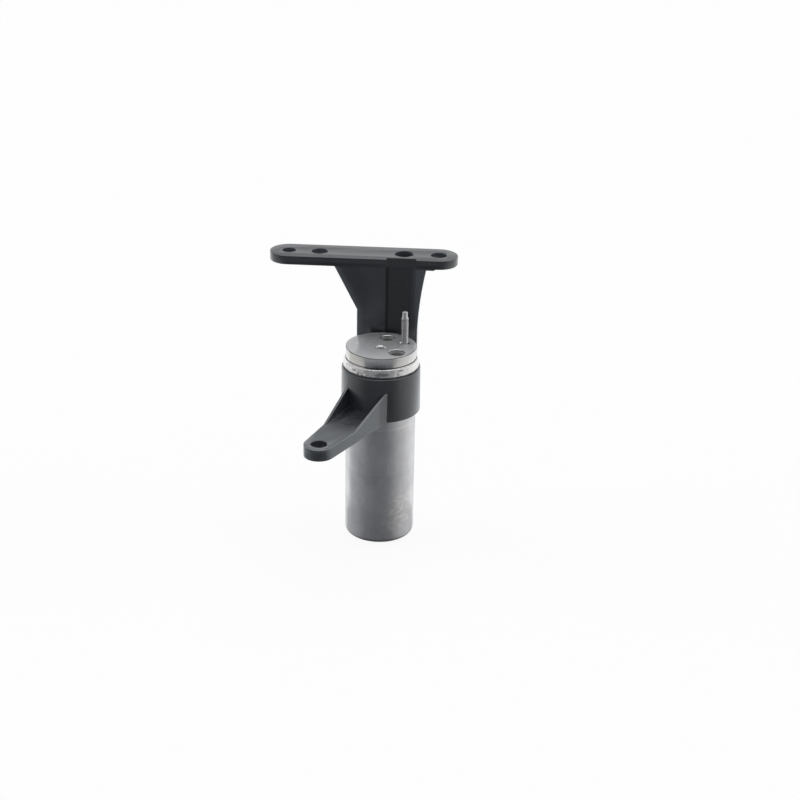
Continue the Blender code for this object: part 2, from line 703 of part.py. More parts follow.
def neck_pockets():
    """Outlines of the two pockets behind the neck's face, either side of the web at the step."""
    foot = COLLAR_BOTTOM + NECK_FLANGE
    beyond = PLATE_TOP + REACH
    web_left = RECESS_LEFT_X - NECK_PANEL
    left = NECK_LEFT_X + NECK_FLANGE
    left_pocket = [
        (left, foot),
        (web_left, foot),
        (web_left, beyond),
        (left + NECK_LEAN * (beyond - NECK_SHOULDER_Z), beyond),
        (left, NECK_SHOULDER_Z),
    ]
    right_pocket = [
        (RECESS_LEFT_X, foot),
        (NECK_RIGHT_X - NECK_FLANGE, foot),
    ] + neck_right_edge(NECK_FLANGE) + [
        (NECK_RIGHT_TOP_X - NECK_FLANGE, beyond),
        (RECESS_LEFT_X, beyond),
    ]
    return left_pocket, right_pocket


def make_neck():
    """The upright channel behind the head, open to the back, with a web where its face steps back."""
    behind = PLATE_BACK_Y + REACH
    neck = stand_in_xz(prism("neck", neck_outline(), NECK_FACE_Y, behind, rounding=NECK_EDGE))
    boolean(neck, stand_in_yz(prism("neck_side", neck_side(), NECK_LEFT_TOP_X * 2, NECK_RIGHT_TOP_X * 2)),
            "INTERSECT")
    saddle = block("saddle", (NECK_LEFT_X, NECK_FACE_Y - SADDLE_DEPTH, BRACKET_FOOT),
                   (NECK_RIGHT_X, NECK_FACE_Y + NECK_PANEL / 2, COLLAR_TOP - SADDLE_CLEAR_OF_RIM))
    boolean(neck, saddle, "UNION")
    boolean(neck, rod("saddle_bore", COLLAR_MIDDLE, COLLAR_BOTTOM - REACH,
                      COLLAR_TOP - SADDLE_CLEAR_OF_RIM / 2, steps=COLLAR_STEPS))
    left_pocket, right_pocket = neck_pockets()
    recessed = NECK_FACE_Y + RECESS_DEPTH
    boolean(neck, stand_in_xz(prism("left_pocket", left_pocket, NECK_FACE_Y + NECK_PANEL, behind + REACH)))
    boolean(neck, stand_in_xz(prism("right_pocket", right_pocket, recessed + NECK_PANEL, behind + REACH)))
    root_back = NECK_FACE_Y + NECK_FLANGE - FLUSH - MERGE
    boolean(neck, block("wing_root_relief", (NECK_RIGHT_TOP_X - GAP, root_back, NECK_SHOULDER_Z),
                        (PLATE_RIGHT_X + REACH, behind + REACH, PLATE_TOP + REACH)))
    return neck


def stadium(left, right, y, radius, count=13):
    return arc((right, y), radius, -90, 90, count) + arc((left, y), radius, 90, 270, count)


def through_hole(name, at, radius, low, high):
    """A round hole with a small chamfer at both faces."""
    flare = radius + HOLE_CHAMFER + REACH
    profile = [
        (0.0, high + REACH),
        (flare, high + REACH),
        (radius, high - HOLE_CHAMFER),
        (radius, low + HOLE_CHAMFER),
        (flare, low - REACH),
        (0.0, low - REACH),
    ]
    return turned(name, profile, HOLE_STEPS, CUTTERS, at=at)


def core_out(body, name, outline, low, high, bosses, ribs):
    """Cuts a pocket into the underside of a moulded body, leaving bosses round its holes and ribs between."""
    pocket = prism(name, outline, low, high)
    for number, (at, radius) in enumerate(bosses):
        boolean(pocket, rod(f"{name}_boss_{number + 1}", radius, low - REACH, high + REACH, at))
    for number, rib in enumerate(ribs):
        boolean(pocket, rib)
    return boolean(body, pocket)


def make_plate():
    """The plate with round ends, cored from below into a skirt, bosses round the holes and ribs."""
    plate = prism("top_plate", stadium(PLATE_LEFT_X, PLATE_RIGHT_X, TOP_PLATE_Y, TOP_PLATE_HALF_WIDTH),
                  PLATE_UNDERSIDE, PLATE_TOP, rounding=TOP_PLATE_ROUND)
    low = PLATE_UNDERSIDE - REACH
    high = PLATE_TOP - MOULDED_SKIN
    inner = TOP_PLATE_HALF_WIDTH - NECK_FLANGE
    wing_end = NECK_LEFT_TOP_X - 2 * NECK_FLANGE
    outline = arc((PLATE_LEFT_X, TOP_PLATE_Y), inner, 90, 270, 13)
    outline += [(wing_end, TOP_PLATE_Y - inner), (wing_end, TOP_PLATE_Y + inner)]
    bosses = (
        ((PLATE_LEFT_X, TOP_PLATE_Y), PLATE_LEFT_HOLE + BOSS_WALL),
        ((PLATE_LEFT_INNER_X, TOP_PLATE_Y), PLATE_LEFT_INNER_HOLE + BOSS_WALL),
    )
    rib = MOULDED_RIB / 2
    long_rib = block("wing_rib", (PLATE_LEFT_X - TOP_PLATE_HALF_WIDTH, TOP_PLATE_Y - rib, low - REACH),
                     (wing_end + REACH, TOP_PLATE_Y + rib, high + REACH))
    core_out(plate, "wing_coring", outline, low, high, bosses, [long_rib])
    right_start = (NECK_RIGHT_TOP_X + PLATE_RIGHT_X) / 2
    outline = [(right_start, TOP_PLATE_Y - inner)]
    outline += arc((PLATE_RIGHT_X, TOP_PLATE_Y), inner, -90, 90, 13)
    outline += [(right_start, TOP_PLATE_Y + inner)]
    bosses = [((PLATE_RIGHT_X, TOP_PLATE_Y), PLATE_RIGHT_HOLE + BOSS_WALL)]
    end_rib = block("end_rib", (PLATE_RIGHT_X, TOP_PLATE_Y - rib, low - REACH),
                    (PLATE_RIGHT_X + TOP_PLATE_HALF_WIDTH, TOP_PLATE_Y + rib, high + REACH))
    side_rib = block("side_rib", (PLATE_RIGHT_X - rib, TOP_PLATE_Y - TOP_PLATE_HALF_WIDTH, low - REACH),
                     (PLATE_RIGHT_X + rib, TOP_PLATE_Y + TOP_PLATE_HALF_WIDTH, high + REACH))
    return core_out(plate, "end_coring", outline, low, high, bosses, [end_rib, side_rib])


def arm_plan(inset, root, nose):
    """Plan of the arm: straight sides closing on a round end, all inset by the same amount."""
    centre = Vector((ARM_END_X, ARM_END_Y))
    radius = ARM_END_RADIUS - inset
    right_normal = Vector((math.cos(ARM_RIGHT_ANGLE), -math.sin(ARM_RIGHT_ANGLE)))
    left_normal = Vector((-math.cos(ARM_LEFT_ANGLE), math.sin(ARM_LEFT_ANGLE)))
    right_side = Vector((math.sin(ARM_RIGHT_ANGLE), math.cos(ARM_RIGHT_ANGLE)))
    left_side = Vector((math.sin(ARM_LEFT_ANGLE), math.cos(ARM_LEFT_ANGLE)))
    start = -math.degrees(ARM_RIGHT_ANGLE)
    end = -180 - math.degrees(ARM_LEFT_ANGLE)
    points = arc(centre, radius, start, end, 13) if nose else []
    points += [tuple(centre + left_normal * radius + left_side * root)]
    points += [tuple(centre + right_normal * radius + right_side * root)]
    return points


def arm_block(name, near, far, half_width, low, high):
    """A box lying along the arm, between two distances from the can's axis."""
    item = block(name, (near, -half_width, low), (far, half_width, high))
    item.rotation_euler = (0.0, 0.0, ARM_TURN)
    return item


def make_arm():
    """The tray-shaped arm: round end pad, flat floor, and side walls that slope down from the collar."""
    high = COLLAR_TOP - SADDLE_CLEAR_OF_RIM
    root = ARM_SPAN - SPIGOT_RADIUS / 2
    arm = prism("arm", arm_plan(0.0, root, True), COLLAR_BOTTOM, high)
    rise = math.tan(ARM_SLOPE) * ARM_SLOPE_END
    beyond = ARM_SPAN + 2 * ARM_END_RADIUS
    slope = [
        (0.0, ARM_TOP + rise),
        (ARM_SLOPE_END, ARM_TOP),
        (beyond, ARM_TOP),
        (beyond, high + rise),
        (0.0, high + rise),
    ]
    wedge = stand_in_xz(prism("arm_slope", slope, -ARM_SPAN, ARM_SPAN))
    wedge.rotation_euler = (0.0, 0.0, ARM_TURN)
    boolean(arm, wedge)
    boolean(arm, prism("arm_tray", arm_plan(ARM_WALL, root + REACH, True), ARM_TOP, high + REACH))
    low = COLLAR_BOTTOM - REACH
    skin = ARM_TOP - MOULDED_SKIN
    bosses = [((ARM_END_X, ARM_END_Y), ARM_HOLE_RADIUS + BOSS_WALL)]
    long_rib = arm_block("arm_rib", 0.0, ARM_SPAN, MOULDED_RIB / 2, low - REACH, skin + REACH)
    middle = (COLLAR_RADIUS + ARM_SPAN - ARM_END_RADIUS) / 2
    cross_rib = arm_block("arm_cross_rib", middle - MOULDED_RIB / 2, middle + MOULDED_RIB / 2, ARM_SPAN,
                          low - REACH, skin + REACH)
    core_out(arm, "arm_coring", arm_plan(ARM_WALL, root + REACH, True), low, skin, bosses,
             [long_rib, cross_rib])
    return boolean(arm, rod("arm_bore", COLLAR_MIDDLE, COLLAR_BOTTOM - REACH, COLLAR_TOP + REACH,
                            steps=COLLAR_STEPS))


def make_bracket():
    """One moulding: collar, neck, top plate and arm are joined, then the holes and the recess are cut."""
    upright = boolean(make_neck(), make_plate(), "UNION")
    bracket = make_collar()
    boolean(bracket, upright, "UNION")
    boolean(bracket, make_arm(), "UNION")
    for name, x, radius in (
        ("left_hole", PLATE_LEFT_X, PLATE_LEFT_HOLE),
        ("left_inner_hole", PLATE_LEFT_INNER_X, PLATE_LEFT_INNER_HOLE),
        ("right_inner_hole", PLATE_RIGHT_INNER_X, PLATE_RIGHT_INNER_HOLE),
        ("right_hole", PLATE_RIGHT_X, PLATE_RIGHT_HOLE),
    ):
        boolean(bracket, through_hole(name, (x, TOP_PLATE_Y), radius, PLATE_UNDERSIDE, PLATE_TOP))
    boolean(bracket, through_hole("arm_hole", (ARM_END_X, ARM_END_Y), ARM_HOLE_RADIUS, COLLAR_BOTTOM,
                                  ARM_TOP))
    boolean(bracket, block("recess", (RECESS_LEFT_X, NECK_FACE_Y - REACH, COLLAR_TOP + RECESS_CLEAR_OF_RIM),
                           (RECESS_RIGHT_X, NECK_FACE_Y + RECESS_DEPTH, PLATE_TOP + REACH)))
    return finish(bracket, make_material("black_moulding", (0.045, 0.045, 0.050), 0.50, 0.0))


def build():
    clear_scene()
    make_collection(PARTS)
    make_collection(CUTTERS)
    make_can()
    make_head()
    make_weld_bead()
    make_stud()
    make_pickup_tube()
    make_strainer()
    make_drying_bed()
    make_bracket()
    drier = bpy.data.objects.new("receiver_drier_origin", None)
    bpy.data.collections[PARTS].objects.link(drier)
    for item in bpy.data.collections[PARTS].objects:
        if item != drier:
            item.parent = drier


build()
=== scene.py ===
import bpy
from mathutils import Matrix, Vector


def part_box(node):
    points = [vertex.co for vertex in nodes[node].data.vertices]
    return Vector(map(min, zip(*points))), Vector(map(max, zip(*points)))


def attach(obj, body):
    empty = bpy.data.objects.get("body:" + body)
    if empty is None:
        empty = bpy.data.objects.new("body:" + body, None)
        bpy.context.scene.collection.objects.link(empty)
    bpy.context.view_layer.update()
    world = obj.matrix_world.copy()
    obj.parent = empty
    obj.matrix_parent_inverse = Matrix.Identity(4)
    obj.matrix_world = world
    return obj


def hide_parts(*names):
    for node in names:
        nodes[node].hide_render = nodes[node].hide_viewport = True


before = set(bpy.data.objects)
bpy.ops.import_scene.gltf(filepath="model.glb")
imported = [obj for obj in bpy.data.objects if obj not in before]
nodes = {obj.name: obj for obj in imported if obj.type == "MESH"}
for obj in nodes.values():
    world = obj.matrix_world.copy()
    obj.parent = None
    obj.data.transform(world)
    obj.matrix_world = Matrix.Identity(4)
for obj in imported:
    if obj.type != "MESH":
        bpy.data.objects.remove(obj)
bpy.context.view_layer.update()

import math

import bmesh
import bpy
import numpy as np
from mathutils import Matrix, Vector

# Receiver drier: looks for the welded can, its head and stud, and the black moulded bracket.
# Lengths are in metres, in the frame of the CAD model.

mm = 0.001
print("frame:", len(nodes), "nodes loaded")


# meshes

def gridFaces(rows, columns, wrapRows=False):
    # each cell of the grid is one four-sided face; columns always join back to the first one
    row, column = np.meshgrid(np.arange(rows if wrapRows else rows - 1), np.arange(columns), indexing="ij")
    nextRow = (row + 1) % rows
    nextColumn = (column + 1) % columns
    corners = [row * columns + column, row * columns + nextColumn,
               nextRow * columns + nextColumn, nextRow * columns + column]
    return np.stack(corners, axis=-1).reshape(-1, 4)


def outwardFaces(points, faces):
    # the volume is a sixth of the sum of each triangle's corner product; below zero, all faces are turned round
    a, b, c, d = (points[faces[:, k]] for k in range(4))
    volume = np.sum(a * np.cross(b, c)) + np.sum(a * np.cross(c, d))
    return faces if volume > 0 else faces[:, ::-1]


def surfacePiece(name, grid, wrapRows=False, smoothAngle=35.0):
    # a grid of points, rows by columns, becomes one closed mesh; a row on the axis closes to a single point
    rows, columns = grid.shape[:2]
    points = grid.reshape(-1, 3)
    faces = outwardFaces(points, gridFaces(rows, columns, wrapRows))
    mesh = bpy.data.meshes.new(name)
    mesh.from_pydata(points.tolist(), [], faces.tolist())
    work = bmesh.new()
    work.from_mesh(mesh)
    bmesh.ops.remove_doubles(work, verts=work.verts, dist=1e-7)
    work.to_mesh(mesh)
    work.free()
    return shownPiece(name, mesh, smoothAngle)


def show(name, data):
    item = bpy.data.objects.new(name, data)
    bpy.context.scene.collection.objects.link(item)
    return item


def shownPiece(name, mesh, smoothAngle):
    piece = show(name, mesh)
    mesh.shade_smooth()
    mesh.set_sharp_from_angle(angle=math.radians(smoothAngle))
    return piece


def turnedGrid(profile, steps, centre=(0.0, 0.0)):
    # x = radius times cosine, y = radius times sine of the angle round the axis, z = the profile's height
    radius, height = np.asarray(profile, float).T
    angle = np.linspace(0.0, 2 * np.pi, steps, endpoint=False)
    x = centre[0] + radius[:, None] * np.cos(angle)
    y = centre[1] + radius[:, None] * np.sin(angle)
    z = np.broadcast_to(height[:, None], x.shape)
    return np.stack([x, y, z], axis=-1)


def arcPoints(centre, radius, start, end, count):
    # points on a circle, angles in degrees
    angle = np.radians(np.linspace(start, end, count))
    return np.stack([centre[0] + radius * np.cos(angle), centre[1] + radius * np.sin(angle)], axis=-1)


def waviness(angle, height, amount, seed):
    # a sum of a few sines of whole turns round the axis and slow turns along it, each with its own phase
    chance = np.random.default_rng(seed)
    total = np.zeros(np.broadcast(angle, height).shape)
    for turns in (2, 3, 5, 7, 11):
        phase, pull = chance.uniform(0, 2 * np.pi, 2)
        total = total + np.sin(turns * angle + phase + height * chance.uniform(-60, 60)) / turns ** 0.7 * np.cos(pull)
    return amount * total / 2.0


def keepShape(piece):
    # the mesh that the modifiers give stays, and the modifiers go
    graph = bpy.context.evaluated_depsgraph_get()
    made = bpy.data.meshes.new_from_object(piece.evaluated_get(graph))
    piece.modifiers.clear()
    piece.data = made
    return piece


def carve(piece, cutters):
    for cutter in cutters:
        modifier = piece.modifiers.new(cutter.name, "BOOLEAN")
        modifier.operation = "DIFFERENCE"
        modifier.solver = "EXACT"
        modifier.object = cutter
    keepShape(piece)
    for cutter in cutters:
        bpy.data.objects.remove(cutter)
    return piece


def place(piece, slot, *replaced):
    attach(piece, "root")
    if replaced:
        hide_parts(*replaced)
    return piece


def dress(piece, material):
    piece.data.materials.clear()
    piece.data.materials.append(material)


# shader nodes

def give(tree, value, socket):
    # an output is joined to the socket; a number, a vector or a colour is set on it
    if isinstance(value, bpy.types.NodeSocket):
        tree.links.new(value, socket)
    elif socket.type == "RGBA":
        socket.default_value = (*value[:3], 1.0)
    else:
        socket.default_value = value


def feed(tree, node, **values):
    for key, value in values.items():
        give(tree, value, node.inputs[key.replace("_", " ")])


def addNode(tree, kind, values=None, **settings):
    node = tree.nodes.new(kind)
    for key, value in settings.items():
        setattr(node, key, value)
    for key, value in (values or {}).items():
        give(tree, value, node.inputs[key])
    return node


def newGroup(name, inputs, outputs):
    # inputs are (name, socket kind, default value), outputs are names of plain numbers
    tree = bpy.data.node_groups.new(name, "ShaderNodeTree")
    for label, kind, value in inputs:
        socket = tree.interface.new_socket(label, in_out="INPUT", socket_type=kind)
        if value is not None:
            socket.default_value = value
    for label in outputs:
        tree.interface.new_socket(label, in_out="OUTPUT", socket_type="NodeSocketFloat")
    return tree, tree.nodes.new("NodeGroupInput").outputs, tree.nodes.new("NodeGroupOutput")


def calc(tree, operation, *values):
    return addNode(tree, "ShaderNodeMath", dict(enumerate(values)), operation=operation).outputs[0]


def times(tree, *factors):
    product = factors[0]
    for factor in factors[1:]:
        product = calc(tree, "MULTIPLY", product, factor)
    return product


def highest(tree, *values):
    most = values[0]
    for value in values[1:]:
        most = calc(tree, "MAXIMUM", most, value)
    return most


def squares(tree, x, y):
    return calc(tree, "ADD", times(tree, x, x), times(tree, y, y))


def raised(tree, base, *layers):
    # layers are (mask, amount), each added to the base
    for mask, amount in layers:
        base = calc(tree, "MULTIPLY_ADD", mask, amount, base)
    return base


def spread(tree, value, low, high, newLow=0.0, newHigh=1.0):
    node = addNode(tree, "ShaderNodeMapRange", {
        "Value": value, "From Min": low, "From Max": high, "To Min": newLow, "To Max": newHigh}, clamp=True)
    return node.outputs["Result"]


def fade(tree, value, low, high):
    return spread(tree, value, low, high, 1.0, 0.0)


def near(tree, value, middle, full, none):
    # one up to the distance full from the middle, nought from the distance none
    return fade(tree, calc(tree, "ABSOLUTE", calc(tree, "SUBTRACT", value, middle)), full, none)


def noise(tree, vector, scale, detail=3.0, roughness=0.55, distortion=0.0):
    node = addNode(tree, "ShaderNodeTexNoise", {
        "Vector": vector, "Scale": scale, "Detail": detail, "Roughness": roughness, "Distortion": distortion})
    return node.outputs["Fac"]


def stretched(tree, vector, amounts):
    return addNode(tree, "ShaderNodeVectorMath", {0: vector, 1: amounts}, operation="MULTIPLY").outputs["Vector"]


def packed(tree, x, y, z):
    return addNode(tree, "ShaderNodeCombineXYZ", {0: x, 1: y, 2: z}).outputs[0]


def unpacked(tree, vector):
    return addNode(tree, "ShaderNodeSeparateXYZ", {0: vector}).outputs


def outward(tree):
    return unpacked(tree, addNode(tree, "ShaderNodeNewGeometry").outputs["Normal"])


def mixColour(tree, share, first, second):
    return addNode(tree, "ShaderNodeMix", {0: share, 6: first, 7: second}, data_type="RGBA",
                   clamp_factor=True).outputs[2]


def painted(tree, tone, *coats):
    # coats are (mask, share, colour), laid one over the other
    for mask, share, colour in coats:
        tone = mixColour(tree, times(tree, mask, share), tone, colour)
    return tone


def makeToolLines():
    # lines left by a tool or a die: noise pulled long one way, a coarse and a fine run of it
    tree, given, put = newGroup("toolLines", [
        ("Vector", "NodeSocketVector", None), ("Stretch", "NodeSocketVector", (1.0, 1.0, 1.0)),
        ("Coarse Share", "NodeSocketFloat", 0.4)], ["Height", "Tone"])
    pulled = stretched(tree, given["Vector"], given["Stretch"])
    coarse = noise(tree, pulled, 0.13, 2.0, 0.5)
    both = addNode(tree, "ShaderNodeMix", {0: given["Coarse Share"], 2: noise(tree, pulled, 1.0, 4.0, 0.65),
                                           3: coarse}, data_type="FLOAT")
    feed(tree, put, Height=both.outputs[0], Tone=spread(tree, coarse, 0.32, 0.68))
    return tree


def makeHandling():
    # what hands and shelves leave: soft smudges, and thin scratches that run two ways
    tree, given, put = newGroup("handlingMarks", [
        ("Vector", "NodeSocketVector", None), ("Smudge Size", "NodeSocketFloat", 60.0),
        ("Scratch Amount", "NodeSocketFloat", 0.5)], ["Smudge", "Scratch"])
    vector = given["Vector"]
    soft = noise(tree, vector, given["Smudge Size"], 4.0, 0.6, 0.4)
    runs = [spread(tree, noise(tree, stretched(tree, vector, pull), 1.0, 2.0, 0.4, 0.6), 0.685, 0.72)
            for pull in ((900.0, 60.0, 240.0), (140.0, 820.0, 70.0))]
    patch = spread(tree, noise(tree, vector, 45.0, 2.0), 0.45, 0.6)
    feed(tree, put, Smudge=spread(tree, soft, 0.42, 0.72),
         Scratch=times(tree, highest(tree, *runs), patch, given["Scratch Amount"]))
    return tree


def makeGrain():
    # the skin of a moulded or cast piece: fine pits, slow flow marks, and flecks of filler under the skin
    tree, given, put = newGroup("mouldedGrain", [
        ("Vector", "NodeSocketVector", None), ("Grain Scale", "NodeSocketFloat", 1800.0),
        ("Fleck Scale", "NodeSocketFloat", 900.0)], ["Height", "Flow", "Fleck"])
    vector = given["Vector"]
    fibres = noise(tree, stretched(tree, vector, (1.0, 0.45, 0.7)), given["Fleck Scale"], 2.0, 0.5)
    feed(tree, put, Height=noise(tree, vector, given["Grain Scale"], 3.0, 0.6),
         Flow=noise(tree, stretched(tree, vector, (28.0, 28.0, 11.0)), 1.0, 4.0, 0.55, 0.8),
         Fleck=spread(tree, fibres, 0.66, 0.74))
    return tree


toolLines = makeToolLines()
handlingMarks = makeHandling()
mouldedGrain = makeGrain()


def newMaterial(name, colour, roughness, metallic, **values):
    # a finish starts from the shader's own plain values; patterns are joined to it after
    material = bpy.data.materials.new(name)
    material.use_nodes = True
    tree = material.node_tree
    shader = tree.nodes["Principled BSDF"]
    feed(tree, shader, Base_Color=colour, Roughness=roughness, Metallic=metallic, **values)
    return material, tree, shader, addNode(tree, "ShaderNodeTexCoord").outputs["Object"]


def useGroup(tree, group, vector, **values):
    node = addNode(tree, "ShaderNodeGroup", node_tree=group)
    feed(tree, node, Vector=vector, **values)
    return node.outputs


def addBump(tree, shader, *layers):
    # layers are (height, depth in metres), stacked one on the other
    below = {}
    for height, depth in layers:
        bump = addNode(tree, "ShaderNodeBump", {"Strength": 1.0, "Distance": depth, "Height": height, **below})
        below = {"Normal": bump.outputs["Normal"]}
    feed(tree, shader, **below)


def roundAxis(tree, coordinates, centre=(0.0, 0.0)):
    # distance from an upright axis, the angle round it, and the height, for patterns on turned pieces
    shift = addNode(tree, "ShaderNodeVectorMath", {0: coordinates, 1: (*centre, 0.0)}, operation="SUBTRACT")
    x, y, z = unpacked(tree, shift.outputs["Vector"])
    return calc(tree, "SQRT", squares(tree, x, y)), calc(tree, "ARCTAN2", y, x), z


# can

canSize = {
    "radius": 30.0 * mm, "wall": 2.0 * mm, "floor": 3.0 * mm, "height": 161.2 * mm,
    "corner": 3.8 * mm, "innerCorner": 2.0 * mm, "weldPrep": 1.5 * mm,
    "grooveHeight": 110.25 * mm, "grooveWidth": 4.3 * mm, "grooveDepth": 0.5 * mm,
    "steps": 192, "rows": 150, "unevenness": 0.05 * mm, "stepHeight": 64.0 * mm, "stepDepth": 0.05 * mm,
}


def canWall(size, radius, low, high, rows):
    # the radius dips by half of one minus a cosine over the groove's width
    height = np.linspace(low, high, rows)
    across = np.clip((height - size["grooveHeight"]) / size["grooveWidth"] + 0.5, 0, 1)
    dip = size["grooveDepth"] * (1 - np.cos(2 * np.pi * across)) / 2
    return np.stack([radius - dip, height], axis=-1)


def makeCan(size):
    inner = size["radius"] - size["wall"]
    outside = canWall(size, size["radius"], size["corner"], size["height"] - size["weldPrep"], size["rows"])
    outside[:, 0] -= size["stepDepth"] / (1 + np.exp((size["stepHeight"] - outside[:, 1]) / (0.3 * mm)))
    inside = canWall(size, inner, size["floor"] + size["innerCorner"], size["height"], 60)[::-1]
    corner = arcPoints((size["radius"] - size["corner"], size["corner"]), size["corner"], -90, 0, 10)
    innerCorner = arcPoints((inner - size["innerCorner"], size["floor"] + size["innerCorner"]),
                            size["innerCorner"], 0, -90, 8)
    profile = np.concatenate([
        [(0.0, 0.0), (0.4 * size["radius"], 0.0)], corner, outside[1:],
        [(size["radius"] - size["weldPrep"], size["height"])], inside, innerCorner[1:], [(0.0, size["floor"])]])
    grid = turnedGrid(profile, size["steps"])
    angle = np.arctan2(grid[..., 1], grid[..., 0])
    radius = np.hypot(grid[..., 0], grid[..., 1])
    share = np.clip((grid[..., 2] - size["corner"]) / (20 * mm), 0, 1)
    share = share * np.clip((size["height"] - 45 * mm - grid[..., 2]) / (20 * mm), 0, 1) * (radius > inner + 0.4 * mm)
    push = 1 + share * waviness(angle, grid[..., 2], size["unevenness"], 4) / size["radius"]
    grid[..., :2] *= push[..., None]
    return surfacePiece("canShell", grid)


def canFinish():
    # drawn aluminium: long marks down the wall, faint rings from the rollers, dull clouds, scratches, a dull line where
    # the die changed, and a paler, warmer, rougher patch low on one side
    look = {"colour": (0.73, 0.74, 0.76), "dull": (0.62, 0.63, 0.65), "roughness": 0.31,
            "smudge": (0.62, 0.625, 0.64), "scratch": (0.88, 0.88, 0.89), "cloud": (0.53, 0.54, 0.56),
            "cloudSize": 95.0, "line": (0.42, 0.42, 0.43), "paleWarm": (0.95, 0.93, 0.90), "paleWarmSize": 160.0,
            "paleWarmAngle": -0.88, "paleWarmHeight": 30 * mm}
    material, tree, shader, at = newMaterial("drawnAluminium", look["colour"], look["roughness"], 1.0)
    distance, angle, height = roundAxis(tree, at)
    drawn = useGroup(tree, toolLines, packed(tree, angle, distance, height), Stretch=(26.0, 400.0, 40.0),
                     Coarse_Share=0.35)
    rings = useGroup(tree, toolLines, packed(tree, height, angle, distance), Stretch=(2600.0, 1.5, 400.0),
                     Coarse_Share=0.5)
    marks = useGroup(tree, handlingMarks, at, Smudge_Size=42.0, Scratch_Amount=0.8)
    cloud = noise(tree, stretched(tree, at, (1.0, 1.0, 0.7)), look["cloudSize"], 5.0, 0.62, 0.5)
    cloud = spread(tree, cloud, 0.36, 0.66)
    line = near(tree, height, canSize["stepHeight"], 0.2 * mm, 2.6 * mm)
    paleWarmPatch = noise(tree, stretched(tree, at, (1.0, 1.0, 1.8)), look["paleWarmSize"], 5.0, 0.62, 0.6)
    paleWarmPatch = times(tree, spread(tree, paleWarmPatch, 0.47, 0.66), near(tree, angle, look["paleWarmAngle"], 0.15, 0.75),
                    near(tree, height, look["paleWarmHeight"], 6 * mm, 26 * mm))
    tone = painted(tree, look["colour"], (drawn["Tone"], 0.75, look["dull"]), (rings["Tone"], 0.25, look["dull"]),
                   (marks["Smudge"], 0.3, look["smudge"]), (marks["Scratch"], 0.6, look["scratch"]),
                   (cloud, 0.6, look["cloud"]), (line, 0.12, look["line"]), (paleWarmPatch, 0.7, look["paleWarm"]))
    rough = raised(tree, look["roughness"] - 0.03, (drawn["Tone"], 0.07),
                   (highest(tree, marks["Smudge"], paleWarmPatch), 0.16))
    feed(tree, shader, Base_Color=tone, Roughness=rough)
    addBump(tree, shader, (drawn["Height"], 0.010 * mm), (rings["Height"], 0.010 * mm), (cloud, 0.05 * mm),
            (paleWarmPatch, 0.03 * mm))
    return material


can = place(makeCan(canSize), "can", "can")
dress(can, canFinish())
print("can: turned surface with its rolled groove,", len(can.data.polygons), "faces")


# head

headSize = {
    "radius": 30.0 * mm, "top": 174.35 * mm, "bottom": 156.4 * mm, "weldLine": 161.5 * mm, "spigot": 27.7 * mm,
    "edge": 0.4 * mm, "weldPrep": 1.5 * mm, "undercutTop": 165.7 * mm, "undercutWidth": 0.7 * mm,
    "undercutDepth": 0.6 * mm, "steps": 192, "holeSteps": 72,
}
portSizes = {
    "outlet": {"at": (14.04 * mm, -14.56 * mm), "radius": 6.7 * mm, "bore": 3.0 * mm, "depth": 8.0 * mm,
               "chamfer": 0.4 * mm, "tube": 4.3 * mm, "tubeSeat": 162.6 * mm},
    "inlet": {"at": (4.07 * mm, 16.81 * mm), "radius": 6.1 * mm, "bore": 4.0 * mm, "depth": 8.0 * mm,
              "chamfer": 0.4 * mm, "tube": 4.0 * mm, "tubeSeat": 162.6 * mm},
}
drilledSizes = {
    "tapped": {"at": (-0.33 * mm, -4.46 * mm), "radius": 3.4 * mm, "depth": 11.5 * mm, "chamfer": 1.0 * mm,
               "pitch": 1.25 * mm, "thread": 0.55 * mm},
    "studHole": {"at": (19.12 * mm, 7.12 * mm), "radius": 3.3 * mm, "depth": 9.0 * mm, "chamfer": 0.8 * mm,
                 "pitch": 1.0 * mm, "thread": 0.0},
}


def portCutter(name, port, size):
    # a stepped hole: chamfer, bore with a flat seat that has a turned groove, narrow bore, and the tube's seat below
    top, beyond = size["top"], 2 * mm
    shoulder = top - port["depth"]
    profile = [
        (0.0, top + beyond), (port["radius"] + port["chamfer"] + beyond, top + beyond),
        (port["radius"], top - port["chamfer"]), (port["radius"], shoulder + 0.3 * mm),
        (port["radius"] - 0.3 * mm, shoulder), (port["bore"] + 0.3 * mm, shoulder), (port["bore"], shoulder - 0.3 * mm),
        (port["bore"], port["tubeSeat"]), (port["tube"], port["tubeSeat"] - 0.001 * mm),
        (port["tube"], size["bottom"] - beyond), (0.0, size["bottom"] - beyond)]
    return surfacePiece(name, turnedGrid(profile, size["holeSteps"], port["at"]))


def drilledCutter(name, hole, size):
    # the wall swings in and out by the thread's depth: a triangle wave of height over pitch less the angle
    top, beyond = size["top"], 2 * mm
    start, end = top - hole["chamfer"], top - hole["depth"]
    rows = int((start - end) / hole["pitch"] * 10)
    height = np.linspace(start, end, rows)
    ends = [(0.0, top + beyond), (hole["radius"] + hole["chamfer"] + beyond, top + beyond)]
    walls = [(hole["radius"], level) for level in height]
    point = [(0.0, end - 0.6 * hole["radius"])]
    grid = turnedGrid(ends + walls + point, size["holeSteps"], hole["at"])
    turn = np.linspace(0.0, 1.0, size["holeSteps"], endpoint=False)
    phase = (height[:, None] / hole["pitch"] - turn) % 1.0
    wave = np.abs(2 * phase - 1)
    fade = np.clip((start - height) / hole["pitch"], 0, 1) * np.clip((height - end) / hole["pitch"], 0, 1)
    grow = 1 + fade[:, None] * wave * hole["thread"] / hole["radius"]
    wallRows = slice(len(ends), len(ends) + rows)
    centre = np.array(hole["at"])
    grid[wallRows, :, :2] = centre + (grid[wallRows, :, :2] - centre) * grow[..., None]
    return surfacePiece(name, grid)


